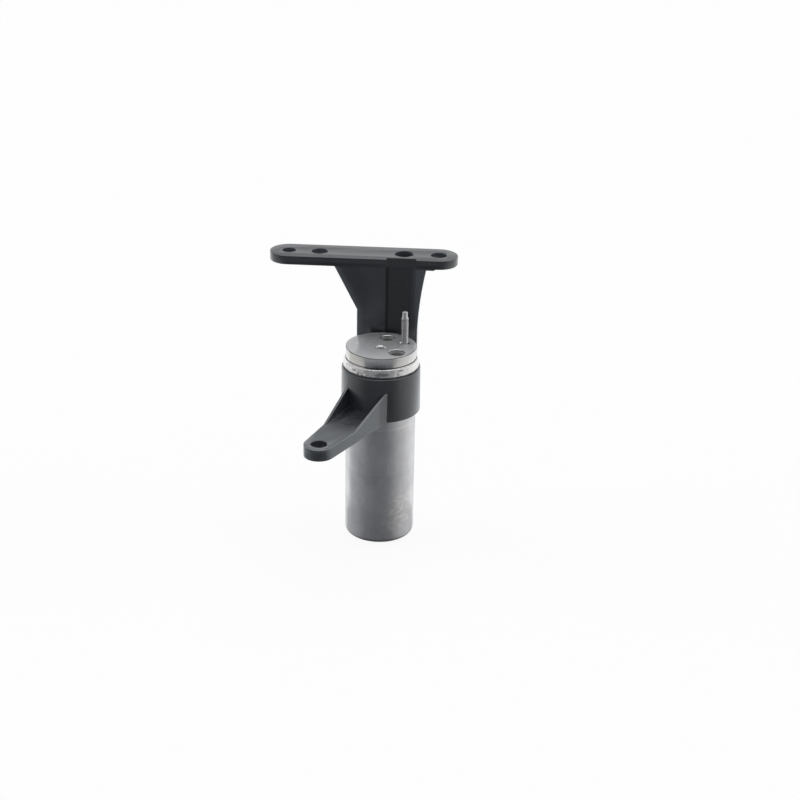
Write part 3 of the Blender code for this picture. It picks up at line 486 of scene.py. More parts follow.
def makeHead(size):
    r, line, under = size["radius"], size["weldLine"], size["undercutTop"]
    edge = arcPoints((r - size["edge"], size["top"] - size["edge"]), size["edge"], 90, 0, 5)
    profile = np.concatenate([
        [(0.0, size["top"])], edge,
        [(r, under + 0.1 * mm), (r - 0.1 * mm, under), (r - size["undercutDepth"], under),
         (r - size["undercutDepth"], under - size["undercutWidth"]), (r, under - size["undercutWidth"]),
         (r, line + size["weldPrep"]), (r - size["weldPrep"], line), (size["spigot"], line),
         (size["spigot"], size["bottom"] + size["edge"]), (size["spigot"] - size["edge"], size["bottom"]),
         (0.0, size["bottom"])]])
    head = surfacePiece("headPlug", turnedGrid(profile, size["steps"]))
    cutters = [portCutter(name, port, size) for name, port in portSizes.items()]
    cutters += [drilledCutter(name, hole, size) for name, hole in drilledSizes.items()]
    carve(head, cutters)
    head.data.shade_smooth()
    head.data.set_sharp_from_angle(angle=math.radians(28))
    return head


def headFinish():
    # faced on a lathe: rings round the axis on the top, rings along the height on the side; painted shade along the
    # rim, in the undercut and at the stud's foot; painted light in the bores, bright at the mouth and darker with depth
    look = {"colour": (0.74, 0.745, 0.755), "worn": (0.62, 0.625, 0.635), "roughness": 0.14,
            "smudge": (0.52, 0.525, 0.54), "scratch": (0.84, 0.84, 0.85), "top": (0.52, 0.525, 0.54),
            "topDull": (0.44, 0.445, 0.46), "topRough": 0.46, "paintedShade": (0.14, 0.138, 0.135),
            "bore": (0.86, 0.865, 0.87), "boreShade": (0.34, 0.34, 0.335)}
    material, tree, shader, at = newMaterial("turnedAluminium", look["colour"], look["roughness"], 1.0,
                                             Coat_Roughness=0.08, Coat_IOR=1.6)
    distance, angle, height = roundAxis(tree, at)
    lathe = packed(tree, distance, height, angle)
    rings = useGroup(tree, toolLines, lathe, Stretch=(5200.0, 2600.0, 1.2), Coarse_Share=0.45)
    wide = useGroup(tree, toolLines, lathe, Stretch=(1500.0, 900.0, 0.6), Coarse_Share=0.5)
    marks = useGroup(tree, handlingMarks, at, Smudge_Size=75.0, Scratch_Amount=1.0)
    below = calc(tree, "SUBTRACT", headSize["top"], height)
    flat = times(tree, spread(tree, outward(tree)[2], 0.9, 0.99), fade(tree, below, 0.25 * mm, 0.85 * mm))
    # painted shade: a dark rim along the top edge, a shadow line in the undercut and a shadow ring at the stud's foot
    rim = times(tree, spread(tree, distance, 29.1 * mm, 29.5 * mm), fade(tree, below, 0.45 * mm, 0.75 * mm))
    undercut = near(tree, height, headSize["undercutTop"] - headSize["undercutWidth"] / 2, 0.35 * mm, 0.55 * mm)
    fromStud = roundAxis(tree, at, drilledSizes["studHole"]["at"])[0]
    foot = times(tree, fade(tree, fromStud, 3.4 * mm, 5.6 * mm), flat, 0.75)
    paintedShadeMask = highest(tree, times(tree, highest(tree, rim, undercut), 0.8), foot)
    # painted light in the bores: a painted highlight at the mouth, turning to painted shade deeper down
    boreLightMask = times(tree, fade(tree, distance, 28.0 * mm, 28.5 * mm), spread(tree, below, 0.75 * mm, 1.95 * mm))
    top = mixColour(tree, wide["Tone"], look["top"], look["topDull"])
    bore = mixColour(tree, spread(tree, below, 1.15 * mm, 3.55 * mm), look["bore"], look["boreShade"])
    tone = painted(tree, look["colour"], (wide["Tone"], 0.6, look["worn"]), (marks["Smudge"], 0.35, look["smudge"]),
                   (marks["Scratch"], 0.8, look["scratch"]), (flat, 1.0, top), (paintedShadeMask, 1.0, look["paintedShade"]),
                   (boreLightMask, 1.0, bore))
    rough = raised(tree, look["roughness"] - 0.04, (wide["Tone"], 0.08), (flat, look["topRough"]),
                   (marks["Smudge"], 0.10))
    feed(tree, shader, Base_Color=tone, Roughness=rough, Metallic=raised(tree, 1.0, (boreLightMask, -0.6)),
         Coat_Weight=times(tree, flat, 0.9))
    addBump(tree, shader, (rings["Height"], 0.014 * mm), (wide["Height"], 0.012 * mm), (marks["Scratch"], -0.012 * mm))
    return material


head = place(makeHead(headSize), "head", "head")
dress(head, headFinish())
print("head: turned plug with two ports and two drilled holes,", len(head.data.polygons), "faces")


# weld bead

beadSize = {
    "radius": 30.15 * mm, "middle": 161.35 * mm, "halfWidth": 3.5 * mm, "crown": 2.1 * mm, "root": 28.9 * mm,
    "sag": 0.90, "lump": 0.24 * mm, "dipAngle": 4.15, "ripples": 64, "rippleDepth": 0.07 * mm, "bow": 0.9,
    "edgeWander": 0.16 * mm, "steps": 1512, "rows": 25,
}


def lumps(angle, across, count, rows, seed):
    # random levels on a grid of count by rows, joined smoothly, the last to the first round the axis
    levels = np.random.default_rng(seed).uniform(-1, 1, (rows, count))
    along = angle / (2 * np.pi) * count
    over = (across + 1) / 2 * (rows - 1)
    i = np.floor(along).astype(int)
    j = np.clip(np.floor(over).astype(int), 0, rows - 2)
    u = (along - i) ** 2 * (3 - 2 * (along - i))
    v = (over - j) ** 2 * (3 - 2 * (over - j))
    first = levels[j, i % count] * (1 - u) + levels[j, (i + 1) % count] * u
    second = levels[j + 1, i % count] * (1 - u) + levels[j + 1, (i + 1) % count] * u
    return first * (1 - v) + second * v


def makeBead(size):
    # crown: a slope that runs out downwards and rounds back under, as metal that sagged; ripples: bowed waves round it
    angle = np.linspace(0.0, 2 * np.pi, size["steps"], endpoint=False)[None, :]
    across = np.linspace(-1.0, 1.0, size["rows"])[:, None]
    sag = size["sag"]
    wander = waviness(angle, 0.0, 1.0, 12)
    beat = waviness(angle * 4, 0.0, 0.35, 13)
    phase = size["ripples"] * angle / (2 * np.pi) + size["bow"] * (1 - across ** 2) + beat
    ripple = np.abs(np.cos(np.pi * phase)) ** 0.7
    chance = np.random.default_rng(21)
    lift = chance.uniform(0.55, 1.15, size["ripples"])[np.floor(phase).astype(int) % size["ripples"]]
    sunk = np.where(across > -sag, (across + sag) / (1 + sag), (across + sag) / (1 - sag))
    sides = np.sqrt(np.clip(1 - np.abs(sunk) ** 8, 0, 1))
    dome = np.where(across > -sag, (1 - 0.6 * np.abs(sunk) ** 1.3) * sides, np.sqrt(np.clip(1 - sunk ** 2, 0, 1)))
    radius = size["radius"] + size["crown"] * dome * (0.93 + 0.07 * wander)
    radius = radius - size["rippleDepth"] * ripple * lift * dome ** 0.5
    radius = radius + size["lump"] * (lumps(angle, across, 76, 5, 31) + 0.5 * lumps(angle, across, 170, 7, 32)) * dome
    radius = np.minimum(radius, size["radius"] + size["crown"] + 0.05 * mm)
    low = 0.07 + 0.05 * waviness(angle * 3, 0.0, 1.0, 14) + 0.20 * np.exp(5 * (np.cos(angle - size["dipAngle"]) - 1))
    reach = np.where(across > 0, 1 - np.clip(low, 0, 1), 0.97 + 0.03 * wander)
    height = size["middle"] + size["halfWidth"] * across * reach
    height = height + size["edgeWander"] * np.sin(2 * np.pi * phase) * np.abs(across) ** 4 * 0.5
    outer = np.stack([radius * np.cos(angle), radius * np.sin(angle), height + 0 * angle], axis=-1)
    root = turnedGrid([(size["radius"] - 0.1 * mm, size["middle"] + 1.35 * mm), (size["root"], size["middle"]),
                       (size["radius"] - 0.1 * mm, size["middle"] - 1.35 * mm)], size["steps"])
    return surfacePiece("weldRipple", np.concatenate([outer, root]), wrapRows=True, smoothAngle=60.0)


def beadFinish():
    # bright weld metal with soot in the hollows of some ripples, a thin white bloom, a few burnt spots and painted
    # shade along the top edge; each spot is an angle, half its width as an angle, a height and half its own height
    look = {"colour": (0.84, 0.84, 0.85), "sootAndShade": (0.40, 0.39, 0.38), "bloom": (0.74, 0.74, 0.74), "roughness": 0.30,
            "burnt": (0.22, 0.218, 0.215), "ragged": 1.6,
            "burns": ((-1.48, 0.21, 160.6 * mm, 1.5 * mm), (-2.30, 0.09, 161.0 * mm, 1.0 * mm),
                      (-2.14, 0.05, 159.2 * mm, 1.2 * mm), (-0.95, 0.10, 162.6 * mm, 0.8 * mm),
                      (1.30, 0.15, 161.0 * mm, 1.2 * mm), (2.80, 0.08, 160.4 * mm, 1.0 * mm))}
    material, tree, shader, at = newMaterial("weldMetal", look["colour"], look["roughness"], 1.0)
    distance, angle, height = roundAxis(tree, at)
    patches = noise(tree, packed(tree, angle, times(tree, height, 160.0), 0.0), 3.4, 4.0, 0.62, 0.6)
    patches = spread(tree, patches, 0.52, 0.72)
    speckle = calc(tree, "SUBTRACT", noise(tree, at, 620.0, 3.0, 0.6), 0.5)
    marks = useGroup(tree, handlingMarks, at, Smudge_Size=160.0, Scratch_Amount=0.4)
    tone = painted(tree, look["colour"], (patches, 0.65, look["sootAndShade"]), (marks["Smudge"], 0.25, look["bloom"]))
    for bearing, halfAngle, level, halfHeight in look["burns"]:
        aside = calc(tree, "DIVIDE", calc(tree, "SUBTRACT", angle, bearing), halfAngle)
        above = calc(tree, "DIVIDE", calc(tree, "SUBTRACT", height, level), halfHeight)
        away = raised(tree, squares(tree, aside, above), (speckle, look["ragged"]))
        tone = painted(tree, tone, (fade(tree, away, 0.45, 1.25), 0.72, look["burnt"]))
    # painted shade along the bead's top edge, under the head
    tone = painted(tree, tone, (spread(tree, height, 163.7 * mm, 164.3 * mm), 0.6, look["sootAndShade"]))
    feed(tree, shader, Base_Color=tone, Roughness=raised(tree, look["roughness"], (patches, 0.16)))
    addBump(tree, shader, (noise(tree, at, 2600.0, 3.0, 0.6), 0.02 * mm), (marks["Smudge"], 0.03 * mm))
    return material


bead = place(makeBead(beadSize), "weld", "weld_bead")
dress(bead, beadFinish())
print("weld bead: rippled ring,", len(bead.data.polygons), "faces")


# stud

studSize = {
    "at": (19.12 * mm, 7.12 * mm), "radius": 3.0 * mm, "foot": 165.65 * mm, "top": 202.75 * mm,
    "pilotRadius": 2.15 * mm, "pilotLength": 4.0 * mm, "pilotTaper": 2.0 * mm, "edge": 0.375 * mm,
    "pitch": 1.0 * mm, "thread": 0.55 * mm, "rowsPerPitch": 10, "steps": 48, "threadFrom": 175.6 * mm,
}


def makeStud(size):
    # the radius loses a clipped triangle wave of height over pitch less the angle, which is the thread
    shoulder = size["top"] - size["pilotLength"] - size["pilotTaper"]
    rows = int((shoulder - size["foot"] - size["edge"]) / size["pitch"] * size["rowsPerPitch"])
    height = np.linspace(size["foot"] + size["edge"], shoulder, rows)
    walls = [(size["radius"], level) for level in height]
    tip = arcPoints((size["pilotRadius"] - size["edge"], size["top"] - size["edge"]), size["edge"], 0, 90, 5)
    profile = [(0.0, size["foot"]), (size["radius"] - size["edge"], size["foot"])] + walls
    profile += [(size["pilotRadius"], size["top"] - size["pilotLength"])] + tip.tolist() + [(0.0, size["top"])]
    grid = turnedGrid(profile, size["steps"], size["at"])
    turn = np.linspace(0.0, 1.0, size["steps"], endpoint=False)
    phase = (height[:, None] / size["pitch"] - turn) % 1.0
    depth = size["thread"] * np.clip((np.abs(2 * phase - 1) - 0.12) / 0.72, 0, 1)
    threaded = np.clip((height - size["threadFrom"]) / size["pitch"], 0, 1)
    threaded = threaded * np.clip((shoulder - height) / (0.6 * mm), 0, 1)
    cut = threaded[:, None] * depth / size["radius"]
    centre = np.array(size["at"])
    grid[2:2 + rows, :, :2] -= (grid[2:2 + rows, :, :2] - centre) * cut[..., None]
    return surfacePiece("studThread", grid, smoothAngle=50.0)


def studFinish():
    # zinc plate: grey with a breath of blue; the thread's roots and flanks are darker, painted shade with some dirt
    look = {"colour": (0.60, 0.605, 0.62), "dull": (0.17, 0.17, 0.175), "smudge": (0.46, 0.455, 0.445),
            "roughness": 0.38, "threadEnd": 196.0 * mm}
    radius, end = studSize["radius"], look["threadEnd"]
    material, tree, shader, at = newMaterial("platedSteel", look["colour"], look["roughness"], 1.0)
    distance, angle, height = roundAxis(tree, at, studSize["at"])
    # painted shade with some dirt in the thread's roots
    rootShadeAndDirt = times(tree, fade(tree, distance, radius - 0.5 * mm, radius - 0.05 * mm),
                  fade(tree, height, end, end + 0.8 * mm))
    marks = useGroup(tree, handlingMarks, at, Smudge_Size=260.0, Scratch_Amount=0.8)
    tone = painted(tree, look["colour"], (rootShadeAndDirt, 0.8, look["dull"]), (marks["Smudge"], 0.4, look["smudge"]))
    feed(tree, shader, Base_Color=tone, Roughness=raised(tree, look["roughness"], (marks["Smudge"], 0.14)))
    addBump(tree, shader, (noise(tree, at, 4200.0, 2.0), 0.008 * mm), (marks["Scratch"], -0.008 * mm))
    return material


stud = place(makeStud(studSize), "stud", "stud")
dress(stud, studFinish())
print("stud: threaded rod,", len(stud.data.polygons), "faces")


# bracket

bracketSize = {"edge": 0.35 * mm, "segments": 2, "edgeAngle": 32.0, "flat": 0.6, "merge": 0.002 * mm}


def makeBracket(size):
    # the CAD moulding, joined up from its loose triangles, with its sharp edges rounded as a mould leaves them
    mesh = nodes["bracket"].data.copy()
    mesh.name = "bracketMoulding"
    work = bmesh.new()
    work.from_mesh(mesh)
    bmesh.ops.remove_doubles(work, verts=work.verts, dist=size["merge"])
    bmesh.ops.dissolve_limit(work, angle_limit=math.radians(size["flat"]), verts=work.verts, edges=work.edges)
    work.to_mesh(mesh)
    work.free()
    if mesh.attributes.get("custom_normal"):
        mesh.attributes.remove(mesh.attributes["custom_normal"])
    bracket = shownPiece("bracketMoulding", mesh, 35.0)
    bevel = bracket.modifiers.new("edges", "BEVEL")
    bevel.width = size["edge"]
    bevel.segments = size["segments"]
    bevel.limit_method = "ANGLE"
    bevel.angle_limit = math.radians(size["edgeAngle"])
    bevel.use_clamp_overlap = True
    bevel.harden_normals = False
    bevel.miter_outer = "MITER_ARC"
    keepShape(bracket)
    bracket.data.shade_smooth()
    bracket.data.set_sharp_from_angle(angle=math.radians(40))
    return bracket


bracketLook = {
    "colour": (0.0060, 0.0068, 0.0088), "flow": (0.0095, 0.0105, 0.0135), "rubbedAndHighlight": (0.046, 0.049, 0.057),
    "fleck": (0.06, 0.06, 0.064), "scratch": (0.10, 0.10, 0.105), "dust": (0.20, 0.20, 0.205),
    "shade": (0.002, 0.002, 0.0025), "roughness": 0.31, "neckLeft": -23.7 * mm, "leanFrom": 193.7 * mm, "lean": 0.5166,
    "recessLeft": 1.1 * mm, "arm": (-0.397, -0.918), "trayFloor": 126.8 * mm, "trayHalf": 19.45 * mm,
    "trayTaper": 0.0805, "plateMiddle": (-19.5 * mm, 49 * mm),
}


def alongAside(tree, x, y, direction):
    # how far a vector runs along a direction, and how far to the side of it that is on the right in the photo
    forwardX, forwardY = direction
    along = calc(tree, "ADD", times(tree, x, forwardX), times(tree, y, forwardY))
    return along, calc(tree, "SUBTRACT", times(tree, y, forwardX), times(tree, x, forwardY))


def neckMasks(tree, x, y, z, look):
    # the neck's front: painted highlight makes it paler towards its two edges; painted shade darkens its recess, most
    # in the corner
    rise = highest(tree, calc(tree, "SUBTRACT", z, look["leanFrom"]), 0.0)
    inward = calc(tree, "SUBTRACT", x, raised(tree, look["neckLeft"], (rise, -look["lean"])))
    onNeck = times(tree, spread(tree, y, 30 * mm, 32 * mm), spread(tree, z, 166 * mm, 170 * mm),
                   fade(tree, z, 231.0 * mm, 231.6 * mm))
    step = (look["recessLeft"] - 0.2 * mm, look["recessLeft"] + 0.1 * mm)
    # painted highlight: the neck's front is a little paler all over, more left of the recess step and most at its two
    # edges
    worn = highest(tree, fade(tree, inward, 2.0 * mm, 8.0 * mm), spread(tree, x, 21 * mm, 28.5 * mm),
                   spread(tree, x, *step, 0.2, 0.1))
    # painted shade: a dark line in the recess's corner, and the whole recess a little darker
    corner = near(tree, x, look["recessLeft"] + 0.8 * mm, 0.7 * mm, 1.5 * mm)
    recess = times(tree, spread(tree, x, *step), fade(tree, x, 22 * mm, 26 * mm), 0.45)
    return times(tree, worn, onNeck), times(tree, highest(tree, corner, recess), onNeck)


def armMasks(tree, x, y, z, facing, upright, look):
    # tray: its inner half, next to the collar, gets painted shade through a weaker coat; the arm's round end and its
    # outer wall towards +X are painted paler, as light falling on them; nook: the walls part towards the collar, and
    # dust keeps to the corner between them
    along, aside = alongAside(tree, x, y, look["arm"])
    across = calc(tree, "ABSOLUTE", aside)
    inTray = spread(tree, z, look["trayFloor"] - 0.2 * mm, look["trayFloor"] + 0.2 * mm)
    # painted shade in the tray's inner half, next to the collar
    trayShade = times(tree, fade(tree, along, 63 * mm, 84 * mm), inTray, fade(tree, across, 10.5 * mm, 13.5 * mm),
                 fade(tree, z, 132 * mm, 152 * mm), fade(tree, y, -20 * mm, -10 * mm))
    # painted light on the arm's round end and on its outer wall towards +X
    end = times(tree, spread(tree, along, 84 * mm, 104 * mm), upright, 0.5)
    outer = times(tree, spread(tree, alongAside(tree, facing[0], facing[1], look["arm"])[1], 0.7, 0.9),
                  spread(tree, aside, 4 * mm, 8 * mm), spread(tree, along, 36 * mm, 40 * mm))
    fromWall = calc(tree, "SUBTRACT", across, raised(tree, look["trayHalf"], (along, -look["trayTaper"])))
    nook = times(tree, fade(tree, fromWall, 0.6 * mm, 1.4 * mm), inTray, fade(tree, along, 63 * mm, 90 * mm),
                 fade(tree, z, 128 * mm, 148 * mm), spread(tree, along, 28 * mm, 30 * mm), upright)
    return trayShade, highest(tree, end, outer), nook


def bracketFinish(look):
    # black glass-filled nylon: fine pitted skin, slow flow marks, pale flecks of fibre, dust on top faces and in the
    # tray's corners, painted highlights on edges and lit faces, and painted shade in the neck's recess and the tray
    material, tree, shader, at = newMaterial(
        "blackNylon", look["colour"], look["roughness"], 0.0, IOR=1.55, Coat_IOR=1.6, Coat_Roughness=0.29,
        Coat_Tint=(0.90, 0.95, 1.0), Specular_Tint=(0.88, 0.94, 1.0))
    grain = useGroup(tree, mouldedGrain, at, Grain_Scale=1900.0, Fleck_Scale=760.0)
    marks = useGroup(tree, handlingMarks, at, Smudge_Size=36.0, Scratch_Amount=0.7)
    x, y, z = unpacked(tree, at)
    facing = outward(tree)
    upward = spread(tree, facing[2], 0.75, 1.0)
    upright = calc(tree, "SUBTRACT", 1.0, upward)
    worn, shaded = neckMasks(tree, x, y, z, look)
    trayShade, paintedLightSides, nook = armMasks(tree, x, y, z, facing, upright, look)
    plateTop = times(tree, spread(tree, z, 234 * mm, 237 * mm), upward, 0.85)
    # painted highlight on the upright faces at the plate's top, round its holes and along its edges
    holes = times(tree, near(tree, y, look["plateMiddle"][1], 8.5 * mm, 9.5 * mm),
                  near(tree, x, look["plateMiddle"][0], 72 * mm, 74 * mm), spread(tree, z, 232 * mm, 233 * mm), upright)
    tone = painted(
        tree, mixColour(tree, spread(tree, grain["Flow"], 0.38, 0.66), look["colour"], look["flow"]),
        (grain["Fleck"], 0.30, look["fleck"]), (marks["Scratch"], 0.5, look["scratch"]),
        (times(tree, upward, marks["Smudge"]), 0.16, look["dust"]), (worn, 1.0, look["rubbedAndHighlight"]),
        (shaded, 0.6, look["shade"]), (highest(tree, paintedLightSides, holes), 1.0, look["rubbedAndHighlight"]),
        (nook, 0.7, look["rubbedAndHighlight"]))
    # a weaker coat paints shade in the neck's recess and the tray's inner half; the plate's top has a weaker coat too
    trayShadeCoat = times(tree, trayShade, spread(tree, upward, 0.0, 1.0, 0.5, 1.0))
    rough = raised(tree, look["roughness"] - 0.07, (grain["Flow"], 0.14), (trayShade, -0.05), (marks["Smudge"], 0.08))
    feed(tree, shader, Base_Color=tone, Roughness=rough,
         Coat_Weight=calc(tree, "SUBTRACT", 1.0, highest(tree, shaded, trayShadeCoat, plateTop)))
    addBump(tree, shader, (grain["Height"], 0.035 * mm), (grain["Flow"], 0.10 * mm), (marks["Scratch"], -0.012 * mm))
    return material


bracket = place(makeBracket(bracketSize), "bracket", "bracket")
dress(bracket, bracketFinish(bracketLook))
print("bracket: moulding with rounded edges,", len(bracket.data.polygons), "faces")


# spring inside the can

springSize = {"radius": 11.5 * mm, "wire": 0.8 * mm, "turns": 3, "low": 148.3 * mm, "high": 156.1 * mm,
              "perTurn": 72, "round": 14}


def makeSpring(size):
    # centreline: a helix whose rise eases in and out, so that both ends lie flat; the wire is a circle carried along it
    count = size["turns"] * size["perTurn"] + 1
    share = np.linspace(0.0, 1.0, count)
    angle = 2 * np.pi * size["turns"] * share
    eased = share - np.sin(2 * np.pi * share) / (2 * np.pi)
    height = size["low"] + size["wire"] + (size["high"] - size["low"] - 2 * size["wire"]) * eased
    line = np.stack([size["radius"] * np.cos(angle), size["radius"] * np.sin(angle), height], axis=-1)
    along = np.gradient(line, axis=0)
    along /= np.linalg.norm(along, axis=1)[:, None]
    outwards = np.stack([np.cos(angle), np.sin(angle), 0 * angle], axis=-1)
    upwards = np.cross(along, outwards)
    turn = np.linspace(0.0, 2 * np.pi, size["round"], endpoint=False)[None, :, None]
    ring = size["wire"] * (np.cos(turn) * outwards[:, None] + np.sin(turn) * upwards[:, None])
    ends = [np.repeat(line[:1, None], size["round"], axis=1), np.repeat(line[-1:, None], size["round"], axis=1)]
    return surfacePiece("bedSpring", np.concatenate([ends[0], line[:, None] + ring, ends[1]]), smoothAngle=60.0)


# felt pads inside the can

padSizes = {
    "feltLower": {"node": "lower_pad", "hole": 6.8 * mm}, "feltUpper": {"node": "upper_pad", "hole": 4.3 * mm},
}
padLook = {"radius": 27.7 * mm, "at": (14.04 * mm, -14.56 * mm), "fuzz": 0.22 * mm, "steps": 160, "rows": 40}


def makePad(name, node, hole, look):
    # circles that grow from the tube's hole to the rim, over the top and back under; the felt's unevenness lies inwards
    low, high = (corner.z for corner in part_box(node))
    out = np.linspace(0.0, 1.0, look["rows"])
    share = np.concatenate([out, [1.0, 1.0, 1.0], out[::-1], [0.0, 0.0, 0.0]])
    sides = np.array([0.75, 0.5, 0.25])
    level = np.concatenate([np.ones(look["rows"]), sides, np.zeros(look["rows"]), sides[::-1]])
    angle = np.linspace(0.0, 2 * np.pi, look["steps"], endpoint=False)
    radius = (1 - share) * hole + share * look["radius"]
    chance = np.random.default_rng(len(name))
    rough = chance.uniform(0.0, 1.0, (len(share), look["steps"])) * 0.5
    rough += 0.5 * (0.5 + 0.5 * np.sin(share[:, None] * 40 + 3 * angle) * np.sin(5 * angle - share[:, None] * 9))
    crush = look["fuzz"] * rough
    edge = np.clip(1 - np.minimum(share, 1 - share) * 30, 0, 1)[:, None] * 0.4 * mm
    x = (1 - share)[:, None] * look["at"][0] + (radius[:, None] - crush * (share[:, None] == 1)) * np.cos(angle)
    y = (1 - share)[:, None] * look["at"][1] + (radius[:, None] - crush * (share[:, None] == 1)) * np.sin(angle)
    z = low + (high - low) * level[:, None] + (crush + edge) * (1 - 2 * level[:, None])
    return surfacePiece(name, np.stack([x, y, z], axis=-1), wrapRows=True, smoothAngle=80.0)


def feltFinish():
    # needled felt: short fibres lying all ways, darker where the needles went in
    look = {"colour": (0.62, 0.60, 0.54), "between": (0.48, 0.46, 0.40), "needle": (0.36, 0.34, 0.29)}
    material, tree, shader, at = newMaterial("needledFelt", look["colour"], 0.95, 0.0, Sheen_Weight=0.35)
    fibres = noise(tree, stretched(tree, at, (1.0, 1.0, 2.4)), 1500.0, 5.0, 0.75, 2.2)
    crossing = noise(tree, stretched(tree, at, (2.6, 0.8, 1.0)), 1100.0, 4.0, 0.7, 1.6)
    holes = addNode(tree, "ShaderNodeTexVoronoi", {"Vector": at, "Scale": 620.0}, feature="F1")
    punched = fade(tree, holes.outputs["Distance"], 0.08, 0.35)
    tone = mixColour(tree, spread(tree, fibres, 0.3, 0.7), look["between"], look["colour"])
    feed(tree, shader, Base_Color=painted(tree, tone, (punched, 0.6, look["needle"])))
    addBump(tree, shader, (fibres, 0.12 * mm), (crossing, 0.10 * mm), (punched, -0.12 * mm))
    return material


# finishes of the other inner pieces

def beadsFinish():
    # packed round beads about two millimetres across, each with its own shade of clay, with painted shade in the gaps
    # between them
    look = {"colour": (0.50, 0.40, 0.30), "dark": (0.40, 0.31, 0.23), "pale": (0.60, 0.50, 0.39),
            "gapShade": (0.10, 0.08, 0.06)}
    material, tree, shader, at = newMaterial("sieveBeads", look["colour"], 0.88, 0.0)
    cells = addNode(tree, "ShaderNodeTexVoronoi", {"Vector": at, "Scale": 480.0, "Randomness": 0.75}, feature="F1")
    ball = calc(tree, "SQRT", fade(tree, calc(tree, "POWER", cells.outputs["Distance"], 2.0), 0.0, 0.36))
    shade = addNode(tree, "ShaderNodeSeparateColor", {0: cells.outputs["Color"]})
    tone = mixColour(tree, shade.outputs[0], look["dark"], look["pale"])
    feed(tree, shader, Base_Color=painted(tree, tone, (fade(tree, ball, 0.0, 0.45), 0.85, look["gapShade"])))
    addBump(tree, shader, (ball, 0.8 * mm), (noise(tree, at, 5200.0, 3.0), 0.03 * mm))
    return material


def sheetFinish():
    # rolled sheet: long rolling marks one way, burrs and dull rims where it was punched
    look = {"colour": (0.60, 0.605, 0.62), "dull": (0.46, 0.465, 0.48), "scratch": (0.74, 0.74, 0.75)}
    material, tree, shader, at = newMaterial("punchedSheet", look["colour"], 0.36, 1.0)
    rolled = useGroup(tree, toolLines, at, Stretch=(60.0, 3200.0, 200.0), Coarse_Share=0.4)
    marks = useGroup(tree, handlingMarks, at, Smudge_Size=120.0, Scratch_Amount=1.0)
    tone = painted(tree, look["colour"], (rolled["Tone"], 0.6, look["dull"]), (marks["Scratch"], 0.7, look["scratch"]))
    feed(tree, shader, Base_Color=tone, Roughness=raised(tree, 0.34, (marks["Smudge"], 0.15)))
    addBump(tree, shader, (rolled["Height"], 0.015 * mm), (marks["Scratch"], -0.01 * mm))
    return material


def tubeFinish():
    # drawn tube: marks along its length and a slightly cloudy skin
    look = {"colour": (0.64, 0.645, 0.66), "dull": (0.46, 0.465, 0.48)}
    material, tree, shader, at = newMaterial("drawnTube", look["colour"], 0.34, 1.0)
    distance, angle, height = roundAxis(tree, at, portSizes["outlet"]["at"])
    drawn = useGroup(tree, toolLines, packed(tree, angle, distance, height), Stretch=(22.0, 500.0, 26.0),
                     Coarse_Share=0.4)
    marks = useGroup(tree, handlingMarks, at, Smudge_Size=110.0, Scratch_Amount=0.7)
    feed(tree, shader, Base_Color=painted(tree, look["colour"], (drawn["Tone"], 0.5, look["dull"])),
         Roughness=raised(tree, 0.30, (marks["Smudge"], 0.16)))
    addBump(tree, shader, (drawn["Height"], 0.02 * mm), (marks["Scratch"], -0.01 * mm))
    return material


def wovenFinish():
    # fine wire cloth round the tube's end: two sets of wires, over and under each other, with painted shade in the
    # openings
    look = {"colour": (0.58, 0.59, 0.61), "gapShade": (0.06, 0.06, 0.065), "wiresRound": 96.0, "pitch": 0.3 * mm}
    material, tree, shader, at = newMaterial("wireCloth", look["colour"], 0.38, 1.0)
    distance, angle, height = roundAxis(tree, at, portSizes["outlet"]["at"])
    around = calc(tree, "SINE", times(tree, angle, look["wiresRound"]))
    along = calc(tree, "SINE", times(tree, height, 2 * math.pi / look["pitch"]))
    wires = highest(tree, calc(tree, "ABSOLUTE", around), calc(tree, "ABSOLUTE", along))
    woven = raised(tree, wires, (times(tree, around, along), 0.35))
    feed(tree, shader, Base_Color=mixColour(tree, spread(tree, woven, 0.55, 1.1), look["gapShade"], look["colour"]))
    addBump(tree, shader, (woven, 0.08 * mm))
    return material


def nylonFinish(name, colour, dark, roughness):
    # unfilled nylon, slightly cloudy, with the mould's fine skin
    material, tree, shader, at = newMaterial(name, colour, roughness, 0.0, IOR=1.53)
    grain = useGroup(tree, mouldedGrain, at, Grain_Scale=2600.0, Fleck_Scale=1400.0)
    marks = useGroup(tree, handlingMarks, at, Smudge_Size=200.0, Scratch_Amount=0.6)
    tone = mixColour(tree, spread(tree, grain["Flow"], 0.35, 0.65), colour, dark)
    feed(tree, shader, Base_Color=painted(tree, tone, (marks["Scratch"], 0.4, (0.85, 0.84, 0.80))),
         Roughness=raised(tree, roughness - 0.08, (grain["Flow"], 0.16)))
    addBump(tree, shader, (grain["Height"], 0.03 * mm), (grain["Flow"], 0.05 * mm))
    return material


def wireFinish():
    # spring wire: drawn, oiled, with a dark heat tint in patches
    look = {"colour": (0.44, 0.45, 0.47), "tint": (0.24, 0.21, 0.18)}
    material, tree, shader, at = newMaterial("springWire", look["colour"], 0.28, 1.0)
    distance, angle, height = roundAxis(tree, at)
    drawn = useGroup(tree, toolLines, packed(tree, angle, distance, height), Stretch=(3.0, 5200.0, 5200.0),
                     Coarse_Share=0.3)
    marks = useGroup(tree, handlingMarks, at, Smudge_Size=180.0, Scratch_Amount=0.8)
    feed(tree, shader, Base_Color=painted(tree, look["colour"], (marks["Smudge"], 0.6, look["tint"])),
         Roughness=raised(tree, 0.25, (marks["Smudge"], 0.18)))
    addBump(tree, shader, (drawn["Height"], 0.02 * mm))
    return material


